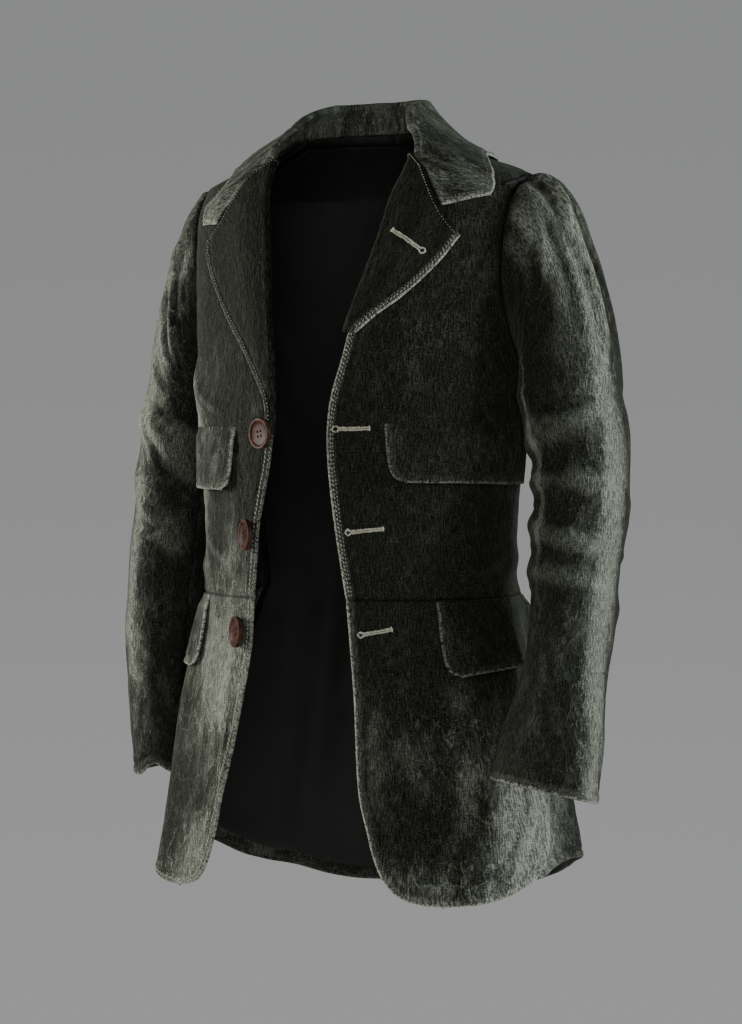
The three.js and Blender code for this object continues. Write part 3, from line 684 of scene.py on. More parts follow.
def blended(tree: Tree, share: Any, first: Any, second: Any, blend: str = "MIX") -> Any:
    """Two colours mixed by a share."""
    settings = {"data_type": "RGBA", "blend_type": blend, "clamp_factor": True}
    made = node(tree, "ShaderNodeMix", settings, Factor=share, in6=first, in7=second)
    return made.outputs[2]


def finish_tree(tree: Tree, colour: Any, height: Any, strength: float, depth: float,
                **surface: Any) -> None:
    """Ends a material with its relief and surface.

    Args:
        tree: Node tree of the material.
        colour: Colour of the surface.
        height: Relief from 0 to 1.
        strength: How strongly the relief shows.
        depth: Depth of the relief in metres.
        **surface: The surface's other values.
    """
    bump = node(tree, "ShaderNodeBump", None, Height=height, Strength=strength, Distance=depth)
    shader = node(tree, "ShaderNodeBsdfPrincipled", None, Base_Color=colour, Normal=bump.outputs[0],
                  **surface)
    node(tree, "ShaderNodeOutputMaterial", None, Surface=shader.outputs[0])


@dataclass(frozen=True)
class Velvet:
    """Cotton velvet, woven and cut, dyed dark green and pale where it rubs.

    The pile drinks light face on; its colour is painted paler on fold ridges, along crinkles and on the sides
    that face the lamps, as painted highlight mixed with real rubbing; edges that rub through show the pale
    ground.
    Its real threads are a quarter of a millimetre thick, too fine to show, so they are drawn
    about four times as coarse.
    """

    deep: str = "#0a0b08"
    pile: str = "#262921"
    crushed: str = "#767b6f"
    # pale colour of pile pressed flat, also the colour of the painted highlights
    bare: str = "#a5a89c"
    thread: float = 0.95
    tuft: float = 9.0
    speck_size: tuple[float, float] = (1.3, 1.6)
    crush_size: tuple[float, float] = (12.0, 30.0)
    cloud_size: tuple[float, float] = (50, 90)
    crinkle_size: tuple[float, float] = (15, 30)
    fray_size: tuple[float, float] = (3, 3)
    edge_line: float = 1.8
    sheen: float = 0.14
    sheen_tint: str = "#a9b09f"
    nap_shares: tuple[float, float, float] = (0.54, 0.13, 0.33)
    crushed_from: tuple[float, float] = (0.94, 1.46)
    roughness: tuple[float, float] = (0.86, 0.62)

    def material(self) -> Material:
        """Makes the material."""
        made, tree = blank("cotton_velvet")
        place = node(tree, "ShaderNodeUVMap", {"uv_map": "cloth"}).outputs[0]
        edge, seam, lift, wear, fray = (
            node(tree, "ShaderNodeAttribute", {"attribute_name": name}).outputs["Fac"]
            for name in ("edge", "seam", "lift", "wear", "fray")
        )

        def noise(across: float, along: float, detail: float, rough: float) -> Any:
            """Noise whose spots are that many millimetres wide and long."""
            scaled = node(tree, "ShaderNodeMapping", None, Vector=place,
                          Scale=(1000 / across, 1000 / along, 1.0)).outputs[0]
            return node(tree, "ShaderNodeTexNoise", {"noise_dimensions": "2D"}, Vector=scaled,
                        Scale=1.0, Detail=detail, Roughness=rough).outputs[0]

        def ranged(value: Any, low: float, high: float, to_low: float, to_high: float) -> Any:
            """A value moved softly from one range to another."""
            return node(tree, "ShaderNodeMapRange", {"interpolation_type": "SMOOTHSTEP"},
                        in0=value, in1=low, in2=high, in3=to_low, in4=to_high).outputs[0]

        def combine(operation: str, *values: Any) -> Any:
            """Values combined one after another."""
            total = values[0]
            for value in values[1:]:
                step = node(tree, "ShaderNodeMath", {"operation": operation}, in0=total, in1=value)
                total = step.outputs[0]
            return total

        times, plus = partial(combine, "MULTIPLY"), partial(combine, "ADD")
        of_streaks, of_weft, of_specks = self.nap_shares
        streaks = noise(self.thread, self.tuft, 3.0, 0.62)
        specks = noise(*self.speck_size, 2.0, 0.8)
        crush = noise(*self.crush_size, 6.0, 0.7)
        broad = noise(*self.cloud_size, 2.0, 0.5)
        weft = noise(self.tuft, self.thread, 2.0, 0.6)
        nap = plus(times(streaks, of_streaks), times(weft, of_weft), times(specks, of_specks))
        ground = blended(tree, ranged(nap, 0.4, 0.64, 0.0, 1.0), linear(self.deep), linear(self.pile))
        # Patches of pile pressed flat, more where the pale map is high, so partly real and partly painted
        # highlight on the sides that face the lamps.
        cloudy = plus(times(crush, 0.9), times(broad, 0.7), times(wear, 0.75))
        patches = ranged(cloudy, *self.crushed_from, 0.0, 1.0)
        grain = ranged(nap, 0.42, 0.6, 0.2, 1.0)
        flattened_and_highlit = times(patches, grain, ranged(wear, 0.0, 1.0, 0.12, 1.0))
        # Painted highlight on the ridges of the relief, mixed with real rubbing there.
        ridge = times(ranged(lift, 0.4, 2.0, 0.0, 0.9), grain, ranged(wear, 0.0, 0.8, 0.16, 1.0))
        fluff = times(ranged(specks, 0.6, 0.74, 0.0, 0.35), ranged(wear, 0.0, 0.7, 0.3, 1.0))
        # Painted highlight in thin pale lines along the crinkles of a noise, stronger where the pile is pale;
        # the same lines cut grooves in the bump.
        fold = combine("SUBTRACT", noise(*self.crinkle_size, 3.0, 0.55), 0.5)
        fold = combine("ABSOLUTE", fold, 0.0)
        crinkle = times(ranged(fold, 0.0, 0.03, 1.0, 0.0), grain, ranged(wear, 0.15, 0.8, 0.05, 0.8))
        # The pile's colour with real rubbing and painted highlights mixed in.
        worn_and_highlit = blended(tree, plus(flattened_and_highlit, ridge, fluff, crinkle), ground, linear(self.crushed))
        ragged = plus(edge, ranged(noise(*self.fray_size, 3.0, 0.7), 0.32, 0.68, -1.4, 1.6))
        rim = times(ranged(ragged, 0.3, self.edge_line, 0.95, 0.0), ranged(specks, 0.36, 0.56, 0.35, 1.0))
        band = times(ranged(edge, 4.0, 9.0, 0.16, 0.0), grain)
        colour = blended(tree, times(plus(rim, band), fray), worn_and_highlit, linear(self.bare))
        # Painted shade in the seams: the colour is darkened to 0.4 at the seam line, fading out within 2.2
        # mm.
        groove = ranged(seam, 0.0, 2.2, 0.4, 1.0)
        grey = node(tree, "ShaderNodeCombineColor", None, Red=groove, Green=groove, Blue=groove).outputs[0]
        shade = blended(tree, 1.0, colour, grey, "MULTIPLY")
        tufts = plus(times(nap, 0.9), times(crush, 1.6))
        tufts = combine("SUBTRACT", tufts, ranged(fold, 0.0, 0.09, 0.0, 1.1))
        finish_tree(
            tree, shade, tufts, 0.6, 0.001, Roughness=ranged(patches, 0.0, 1.0, *self.roughness),
            Sheen_Weight=self.sheen, Sheen_Roughness=0.32, Sheen_Tint=linear(self.sheen_tint),
            IOR=1.42, Specular_IOR_Level=0.09,
        )
        return made


@dataclass(frozen=True)
class Lining:
    """Cotton sateen, woven and dyed black, a little smooth from long use."""

    colour: str = "#090a09"
    lighter: str = "#141513"

    def material(self) -> Material:
        """Makes the material."""
        made, tree = blank("black_sateen")
        colour = blended(tree, speckled(tree, 22.0, 4.0), linear(self.colour), linear(self.lighter))
        finish_tree(tree, colour, speckled(tree, 420.0, 3.0), 0.25, 0.0004,
                    Roughness=0.72, Specular_IOR_Level=0.22)
        return made


@dataclass(frozen=True)
class Horn:
    """Turned and polished horn, brown with a red glow and paler clouds."""

    dark: str = "#20140f"
    brown: str = "#38231b"
    pale: str = "#50352b"

    def material(self) -> Material:
        """Makes the material."""
        made, tree = blank("polished_horn")
        cloud = speckled(tree, 95.0, 5.0, Distortion=1.2)
        ramp = node(tree, "ShaderNodeValToRGB", None, Fac=cloud)
        stops = ramp.color_ramp.elements
        stops[0].position, stops[0].color = 0.3, linear(self.dark)
        stops[1].position, stops[1].color = 0.72, linear(self.pale)
        stops.new(0.52).color = linear(self.brown)
        finish_tree(tree, ramp.outputs[0], speckled(tree, 900.0, 2.0), 0.12, 0.0002,
                    Roughness=0.42, IOR=1.45, Specular_IOR_Level=0.05)
        return made


@dataclass(frozen=True)
class Thread:
    """Twisted linen thread, matt and faded."""

    name: str = "linen_thread"
    dark: str = "#5d6256"
    pale: str = "#a3a797"

    def material(self) -> Material:
        """Makes the material."""
        made, tree = blank(self.name)
        colour = blended(tree, speckled(tree, 260.0, 3.0), linear(self.dark), linear(self.pale))
        finish_tree(tree, colour, speckled(tree, 1600.0, 1.0), 0.5, 0.0002,
                    Roughness=0.9, Specular_IOR_Level=0.2)
        return made


@dataclass
class Finishes:
    """The materials of the jacket, made once."""

    velvet: Material = field(default_factory=lambda: Velvet().material())
    lining: Material = field(default_factory=lambda: Lining().material())
    horn: Material = field(default_factory=lambda: Horn().material())
    sewing: Material = field(default_factory=lambda: Thread().material())
    buttonhole: Material = field(
        default_factory=lambda: Thread("buttonhole_twist", "#8d8c7c", "#c3c1b0").material()
    )


# ---------------------------------------------------------------- the body
@dataclass
class BodyForm:
    """The hollow form of the jacket, swelled by its own folds."""

    sections: Table = (
        (-760, 220, 208, 145, 165, 0, 2.2),
        (-720, 211, 201, 142, 160, 0, 2.2),
        (-660, 202, 191, 136, 149, 0, 2.2),
        (-600, 190, 181, 130, 136, 0, 2.2),
        (-530, 170, 169, 124, 121, 0, 2.25),
        (-450, 152, 149, 119, 107, 0, 2.3),
        (-400, 148, 146, 118, 102, 0, 2.3),
        (-350, 150, 148, 118, 103, 0, 2.3),
        (-300, 155, 152, 119, 107, 0, 2.3),
        (-250, 159, 155, 120, 112, 1, 2.3),
        (-200, 162, 158, 119, 115, 3, 2.3),
        (-160, 166, 161, 116, 117, 5, 2.3),
        (-120, 171, 165, 110, 116, 8, 2.3),
        (-80, 174, 167, 100, 112, 10, 2.3),
        (-50, 171, 160, 89, 108, 12, 2.2),
        (-41, 158, 145, 83, 104, 12, 2.1),
        (-28, 122, 112, 74, 94, 12, 2.05),
        (-10, 76, 76, 60, 74, 12, 2.0),
        (0, 62, 62, 54, 60, 12, 2.0),
        (10, 60, 60, 52, 58, 12, 2.0),
    )
    swing_rows: Table = (
        (-760, 4, 10),
        (-600, 6, 14),
        (-425, 10, 19),
        (-280, 10, 19),
        (-190, 6, 12),
        (-110, 1, 3),
        (0, 0, 0),
    )
    swing_turns: tuple[float, float] = (8, 52)
    folds: Table = (
        (66, -470, 62, -690, 15, 7, 1),
        (84, -470, 78, -690, 12, 6, 1),
        (112, -450, 100, -690, 15, 9, 0),
        (138, -450, 132, -700, 17, 9, 0),
        (163, -450, 160, -700, 17, 8, 0),
        (70, -470, 66, -690, 16, 6, -1),
        (36, -480, 40, -660, 20, 3, 0),
        (80, -226, 48, -250, 13, 4, 0),
        (98, -395, 70, -402, 10, 3, 0),
        (116, -395, 150, -402, 10, 3, 0),
    )
    degree: float = 2.3

    def __post_init__(self) -> None:
        """Prepares the curves of the sections."""
        self.section = monotone(self.sections)
        self.swing = monotone(self.swing_rows)

    def plain(self, turn: Any, level: Any, side: Side) -> Array:
        """Places on the form without its folds."""
        turn, level = np.broadcast_arrays(np.asarray(turn, float), np.asarray(level, float))
        left, right, front, back, middle, square = np.moveaxis(self.section(level), -1, 0)
        across, ahead = np.sin(np.radians(turn)), np.cos(np.radians(turn))
        half = left if side is Side.LEFT else right
        depth = np.where(ahead >= 0, front, back)
        reach = ((np.abs(across) / half) ** square + (np.abs(ahead) / depth) ** square) ** (-1 / square)
        swing = self.swing(level)[..., 0 if side is Side.LEFT else 1]
        forward = swing * (1 - ease(*self.swing_turns, turn))
        return np.stack([side.value * reach * across, middle - reach * ahead - forward, level], -1)

    def normal(self, turn: Any, level: Any, side: Side) -> Array:
        """Directions out of the form."""
        step = 0.5
        around = self.plain(turn + step, level, side) - self.plain(turn - step, level, side)
        up = self.plain(turn, level + step, side) - self.plain(turn, level - step, side)
        return unit(np.cross(around, up) * side.value)

    def swell(self, turn: Any, level: Any, side: Side) -> Array:
        """Height of the folds of the solid."""
        total = np.zeros(np.broadcast(turn, level).shape)
        for row in on_side(self.folds, side):
            total = total + broad_fold(turn, level, row, self.degree)
        return total

    def place(self, turn: Any, level: Any, side: Side, lift: Any = 0.0) -> Array:
        """Places on the jacket's outer face, or above it."""
        turn, level = np.asarray(turn, float), np.asarray(level, float)
        height = self.swell(turn, level, side) + lift
        return self.plain(turn, level, side) + self.normal(turn, level, side) * height[..., None]

    def flat(self, turn: Array, level: Array, side: Side) -> Array:
        """Places on the flat cloth, in millimetres."""
        return np.stack([side.value * turn * self.degree, level], -1)


ARMHOLE: Table = (
    (-180, 97, -229), (-150, 104, -214), (-125, 110, -186), (-100, 113, -148),
    (-75, 112, -109), (-45, 106, -72), (-20, 97, -52), (0, 90, -46.5),
    (20, 84, -51), (45, 78, -67), (75, 74.5, -102), (100, 75, -144),
    (125, 80, -181), (150, 88, -212), (180, 97, -229),
)


@dataclass(frozen=True)
class Cut:
    """One kind of panel.

    Its grid is what spaced takes, across it and up it. The welt is the height of its turned-in
    edge, the seam the width of the groove at its seams, the hand the amount of its unevenness,
    and the facing the width of outer cloth inside. Size and area are those of the flat cut in metres.
    """

    kind: str
    across: tuple[float, float, float, bool, bool]
    up: tuple[float, float, float, bool, bool]
    borders: dict[str, Border]
    fray: Pair
    welt: float
    seam: float
    hand: float
    facing: float
    size: tuple[float, float]
    area: float


@dataclass
class Panels:
    """Fronts, skirts of the fronts, backs and their linings."""

    form: BodyForm
    finishes: Finishes
    waist: float = -427
    side_seam_skirt: Table = ((77, -674), (81.4, -656), (88, -618), (97.6, -540), (106, -472), (111, -427))
    side_seam_top: Table = ((111, -427), (108, -370), (104, -310), (100, -262), (97, -229))
    front_edge: Pair = Pair(
        ((23.6, -427), (19.8, -374), (17.2, -330), (15.8, -286), (17, -250), (20.8, -215), (23, -192)),
        ((18.8, -427), (17.2, -395), (15.8, -364), (12.8, -336), (9.5, -308), (7.4, -280)),
    )
    roll_line: Pair = Pair(
        ((23, -192), (28.6, -150), (34.5, -112), (41.5, -68), (52, -34)),
        ((7.4, -280), (9, -240), (11.6, -200), (16, -160), (21.6, -116), (33, -56), (43, -32)),
    )
    neck: Pair = Pair(((52, -34), (62, -19), (75, -7)), ((43, -32), (56, -17), (72, -7)))
    skirt_edge: Pair = Pair(
        ((52, -694), (46, -692), (40.2, -686), (35.8, -673), (32.6, -652), (30.5, -628),
         (28.2, -602), (27.2, -568), (26.5, -515), (25.2, -471), (23.6, -427)),
        ((50, -694), (45, -691), (40, -686), (36.4, -675), (33.6, -652), (31.9, -628),
         (30.2, -602), (27.6, -565), (23.2, -515), (19.6, -470), (18.8, -427)),
    )
    skirt_hem: Pair = Pair(((52, -694), (61, -692), (70, -685)), ((50, -694), (60, -694), (69, -687)))
    back_hem: Pair = Pair(((96, -664), (118, -682), (146, -712)), ((96, -668), (118, -697), (146, -719)))
    back_neck: Table = ((112, 0), (140, 3))
    hem_level: float = -725
    nape_level: float = 4
    shoulder_level: float = -46.5
    blade: float = -60
    edge_steps: Pair = Pair((11, 10), (7, 14))
    skirt_steps: int = 10
    side_steps: int = 8
    armhole_steps: int = 8
    shoulder_steps: int = 5
    armhole_places: int = 13
    welt_width: float = 7.0
    wall: float = 2.2
    lining_wall: float = 1.1
    lining_depth: float = 6.0
    lining_across: tuple[float, float, int] = (0.03, 1.0, 46)
    lining_up: tuple[float, float, int] = (0.016, 0.985, 130)
    seeds: Pair = Pair(11, 41)
    cuts: tuple[Cut, ...] = (
        Cut("front", across=(190, 2.5, 1.2, True, False), up=(400, 2.5, 1.2, False, False),
            borders={"inner": Border.FINISHED, "top": Border.HIDDEN}, fray=Pair(0.8, 0.35),
            welt=0.8, seam=2.2, hand=1.0, facing=60, size=(0.27, 0.44), area=0.078),
        Cut("skirt_front", across=(170, 2.5, 1.2, True, False), up=(265, 2.5, 1.2, True, False),
            borders={"inner": Border.FINISHED, "bottom": Border.FINISHED, "outer": Border.FINISHED},
            fray=Pair(0.7, 0.45), welt=1.0, seam=2.2, hand=1.0, facing=60, size=(0.24, 0.29), area=0.048),
        Cut("back", across=(215, 2.9, 2.9, False, False), up=(740, 2.9, 1.3, True, False),
            borders={"bottom": Border.FINISHED, "top": Border.HIDDEN}, fray=Pair(0.1, 0.1),
            welt=0.9, seam=2.4, hand=1.2, facing=30, size=(0.28, 0.75), area=0.155),
    )
    creases: Table = (
        # turn, level at both ends, half width, height, trough, side
        (29, -262, 25, -337, 1.5, 1.3, 0.9, -1),
        (25, -334, 19, -371, 1.4, 1.3, 0.9, -1),
        (26.4, -312, 24.6, -425, 1.5, 1.3, 1.0, -1),
        (33, -372, 32, -424, 1.8, 0.9, 1.0, -1),
        (48, -431, 40, -452, 2.2, 1.1, 0.9, -1),
        (40, -430, 35, -446, 2.2, 1.1, 0.9, -1),
        (33, -430, 29, -444, 2.0, 1.0, 0.9, -1),
        (80, -575, 74, -650, 3.6, 2.0, 0.8, 1),
        (84, -580, 80, -670, 3.0, 1.7, 0.8, 1),
        (70, -672, 56, -668, 2.4, 1.2, 0.8, 1),
        (26, -440, 29, -640, 6.0, 1.8, 0.6, -1),
        (44, -445, 42, -600, 7.0, 1.6, 0.6, -1),
        (60, -300, 44, -350, 5.0, 1.6, 0.5, -1),
        (70, -215, 38, -262, 6.0, 2.0, 0.5, -1),
        (66, -250, 30, -300, 5.0, 1.3, 0.5, -1),
        (64, -360, 34, -400, 5.0, 1.4, 0.5, -1),
        (74, -190, 44, -240, 6.5, 0.9, 0.5, 1),
        (76, -240, 50, -268, 5.0, 0.8, 0.6, 1),
        (92, -350, 52, -372, 6.0, 1.0, 0.5, 1),
        (96, -380, 60, -408, 5.0, 1.1, 0.5, 1),
        (60, -520, 54, -660, 8.0, 0.9, 0.4, 1),
        (74, -590, 70, -680, 5.0, 2.0, 0.6, 1),
        (67, -600, 62, -690, 4.5, 1.8, 0.6, 1),
        (108, -230, 128, -300, 8.0, 2.0, 0.5, 0),
        (112, -150, 134, -240, 9.0, 1.8, 0.5, 0),
        (104, -300, 130, -345, 6.0, 1.6, 0.5, 1),
        (106, -330, 138, -372, 6.0, 1.6, 0.5, -1),
        (118, -408, 172, -400, 5.0, 1.8, 0.6, 0),
        (124, -384, 164, -372, 5.0, 1.2, 0.5, 1),
        (122, -366, 168, -386, 5.0, 1.3, 0.5, -1),
        (150, -100, 176, -130, 8.0, 1.2, 0.4, 0),
        (122, -480, 120, -690, 9.0, 2.6, 0.5, 0),
        (150, -500, 148, -700, 8.0, 2.4, 0.5, 1),
        (154, -480, 150, -690, 8.0, 2.2, 0.5, -1),
    )

    # Paleness of the pile: real rubbing mixed with painted highlight where the cloth faces the key lamp,
    # which makes the wearer's right paler than the left.
    base_wear: Pair = Pair(0.18, 0.21)
    worn_places: Table = (
        # turn, level, reach of both, amount, side
        (36, -560, 26, 60, 0.14, -1),
        (34, -710, 30, 80, 0.7, -1),
        (34, -500, 20, 60, 0.3, -1),
        (30, -410, 16, 50, 0.2, -1),
        (63, -300, 9, 80, 0.8, -1),
        (40, -470, 30, 70, 0.3, -1),
        (66, -560, 20, 60, 0.2, 1),
        (50, -190, 24, 60, 0.1, 1),
        (78, -628, 11, 48, 0.75, 1),
        (50, -690, 40, 38, 0.36, 1),
        (40, -560, 30, 50, 0.16, 1),
        (80, -610, 9, 60, 0.25, 1),
        (112, -640, 16, 90, 0.1, 0),
        (150, -560, 22, 140, 0.25, 0),
        (130, -130, 26, 60, 0.2, 0),
        (108, -300, 14, 80, 0.2, 0),
    )

    def armhole_half(self, start: float) -> Array:
        """Half of the armhole from under the arm to the shoulder: turn and level."""
        return cardinal(ARMHOLE)(np.linspace(start, 0, self.armhole_places))

    def side_seam(self, start: float) -> list[tuple[Table, int]]:
        """From the waist up to the armpit, round the armhole and along the shoulder."""
        shoulder = ((90, self.shoulder_level), (90, -24), (90, -3))
        return [
            (self.side_seam_top, self.side_steps),
            (self.armhole_half(start), self.armhole_steps),
            (shoulder, self.shoulder_steps),
        ]

    def front_place(self, side: Side) -> Patch:
        """The patch of a front."""
        edge, roll = self.edge_steps.at(side)
        inner = joined([(self.front_edge.at(side), edge), (self.roll_line.at(side), roll)])
        outer = joined(self.side_seam(180))
        bottom = straight(end_of(inner, 0.0), end_of(outer, 0.0))
        top = through([*self.neck.at(side), end_of(outer, 1.0)])
        return patch(bottom, top, inner, outer)

    def skirt_place(self, side: Side) -> Patch:
        """The patch of a front's skirt."""
        inner, outer = through(self.skirt_edge.at(side)), through(self.side_seam_skirt)
        bottom = through([*self.skirt_hem.at(side), end_of(outer, 0.0)])
        top = straight(end_of(inner, 1.0), end_of(outer, 1.0))
        return patch(bottom, top, inner, outer)

    def back_place(self, side: Side) -> Patch:
        """The patch of half the back."""
        outer = joined([(self.side_seam_skirt, self.skirt_steps), *self.side_seam(-180)])
        middle = joined([
            (((180, self.hem_level), (180, self.waist)), self.skirt_steps),
            (((180, self.waist), (180, self.blade)), self.side_steps + self.armhole_steps),
            (((180, self.blade), (180, self.nape_level)), self.shoulder_steps),
        ])
        start, end = outer(np.array([0.0, 1.0]))
        bottom = through([start, *self.back_hem.at(side), (180, self.hem_level)])
        top = through([end, *self.back_neck, (180, self.nape_level)])
        return patch(bottom, top, outer, middle)

    def cloth(self, name: str, place: Patch, across: Array, up: Array,
              side: Side, depth: float = 0.0, **borders: Any) -> Cloth:
        """Lays cloth over a patch.

        Args:
            name: Name of the piece.
            place: The patch.
            across: Shares across it.
            up: Shares up it.
            side: The wearer's left or right.
            depth: How far under the outer face it lies.
            **borders: What each border is, and how frayed the finished ones are.

        Returns:
            The cloth, before its relief.
        """
        grid = place(across, up)
        turn, level = grid[..., 0], grid[..., 1]
        points = self.form.place(turn, level, side, -depth)
        flat = self.form.flat(turn, level, side)
        made = Cloth(name, points, flat, self.form.normal(turn, level, side), **borders)
        made.wear = rubbed(turn, level, self.base_wear.at(side), self.worn_places, side)
        for row in on_side(self.creases, side):
            made.relief += crease(turn, level, row, self.form.degree)
        return made

    def panel(self, cut: Cut, place: Patch, side: Side, seed: int) -> Cloth:
        """Makes one velvet panel.

        Args:
            cut: Its kind.
            place: Its patch.
            side: The wearer's left or right.
            seed: Choice of its unevenness.

        Returns:
            Its cloth.
        """
        made = self.cloth(f"velvet_{cut.kind}_{side.label}", place, spaced(*cut.across), spaced(*cut.up),
                          side, fray=cut.fray.at(side), **cut.borders)
        made.welt(self.welt_width, cut.welt, seed)
        made.valley(1.5, cut.seam, seed + 3)
        made.unevenness(seed + 6, cut.hand)
        made.settle()
        piece = Wall(self.wall, cut.facing).build(made, self.finishes.velvet, self.finishes.lining)
        declare(piece, f"{cut.kind}_{side.label}")
        return made

    def lining(self, side: Side, seed: int) -> None:
        """Makes the lining of half the back."""
        made = self.cloth(
            f"sateen_lining_{side.label}", self.back_place(side),
            np.linspace(*self.lining_across), np.linspace(*self.lining_up), side, self.lining_depth,
            bottom=Border.SEAM, top=Border.HIDDEN, inner=Border.HIDDEN, outer=Border.SEAM,
        )
        made.relief *= -0.5
        made.unevenness(seed, 1.4)
        made.settle()
        piece = Wall(self.lining_wall).build(made, self.finishes.lining, self.finishes.lining)
        declare(piece, f"lining_{side.label}")

    def build(self) -> list[Cloth]:
        """Makes all panels.

        Returns:
            The cloths whose edges are stitched.
        """
        made = []
        for side in Side:
            seed = self.seeds.at(side)
            places = self.front_place(side), self.skirt_place(side), self.back_place(side)
            for index, (cut, place) in enumerate(zip(self.cuts, places)):
                made.append(self.panel(cut, place, side, seed + 10 * index))
            self.lining(side, seed + 30)
        return made


def declare(piece: Piece, node_name: str) -> None:
    """Hangs a cloth piece on the body and hides the solid that it stands for.

    Args:
        piece: The finished object.
        node_name: The solid that it stands for.
    """
    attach(piece, BODY)
    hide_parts(node_name)
    LOG.info("%s: %d faces", piece.name, len(piece.data.polygons))


@dataclass
class Flaps:
    """The four pocket flaps."""

    form: BodyForm
    finishes: Finishes
    top_lift: float = 3.6
    top_tuck: float = 2.6
    stitch: float = 5.0
    chest: Pair = Pair(
        (((44.5, -322.5), (41, -318.5), (39.3, -310), (38.4, -296), (37.6, -272)),
         ((98, -324), (99, -298), (98.5, -272))),
        (((36, -330), (32.5, -325.5), (30.8, -317), (29.8, -300), (29, -274)),
         ((93, -327), (94, -300), (93.5, -274))),
    )
    hip: Pair = Pair(
        (((61.5, -496), (58.8, -492.5), (57.2, -484), (56.4, -464), (56, -429)),
         ((107, -484), (109, -458), (110, -429))),
        (((61, -496), (57.6, -491), (56, -482), (55, -462), (53.6, -429)),
         ((105, -493), (107, -462), (108, -429))),
    )
    chest_flare: Pair = Pair(3, 4)
    hip_flare: Pair = Pair(6, 1.5)
    # paleness of the pile: the right flaps, which face the key lamp, carry painted highlight over real
    # rubbing
    wear: Pair = Pair(0.22, 0.42)
    fray: Pair = Pair(0.3, 0.5)
    wall: float = 2.4

    def build(self) -> list[Cloth]:
        """Makes the flaps.

        Returns:
            Their cloths.
        """
        made = []
        kinds = (("chest", self.chest, self.chest_flare), ("hip", self.hip, self.hip_flare))
        for kind, corners, flare in kinds:
            for side in Side:
                made.append(self.flap(kind, side, corners.at(side), flare.at(side)))
        return made

    def flap(self, kind: str, side: Side, corners: Sequence[Table], flare: float) -> Cloth:
        """Makes one flap.

        Args:
            kind: Chest or hip.
            side: The wearer's left or right.
            corners: Points of its front and rear edges from the bottom up.
            flare: How far its lower edge stands away.

        Returns:
            Its cloth.
        """
        inner, outer = through(corners[0]), through(corners[1])
        bottom = straight(end_of(inner, 0.0), end_of(outer, 0.0))
        top = straight(end_of(inner, 1.0), end_of(outer, 1.0))
        place = patch(bottom, top, inner, outer)
        across = spaced(140, 2.2, 1.1, True, True)
        up = spaced(60, 2.0, 1.1, True, False)
        grid = place(across, up)
        turn, level = grid[..., 0], grid[..., 1]
        share_up = np.broadcast_to(up[:, None], turn.shape)
        share_across = np.broadcast_to(across[None], turn.shape)
        seed = 70 + 7 * side.value + (3 if kind == "hip" else 0)
        stand = flare * (1 - share_up) ** 1.3
        stand = stand * (1 + 0.35 * np.sin(share_across * 9 + seed))
        stand = stand - self.top_tuck * ease(0.82, 1.0, share_up)
        points = self.form.place(turn, level, side, self.top_lift + stand)
        made = Cloth(
            f"velvet_{kind}_flap_{side.label}", points, self.form.flat(turn, level, side),
            self.form.normal(turn, level, side), bottom=Border.FINISHED, inner=Border.FINISHED,
            outer=Border.FINISHED, top=Border.HIDDEN, fray=self.fray.at(side),
        )
        made.wear = np.full(turn.shape, self.wear.at(side))
        made.welt(self.stitch, 0.4, seed)
        made.unevenness(seed + 4, 0.8)
        made.settle()
        piece = Wall(self.wall, FAR).build(made, self.finishes.velvet, self.finishes.velvet)
        declare(piece, f"{kind}_flap_{side.label}")
        return made


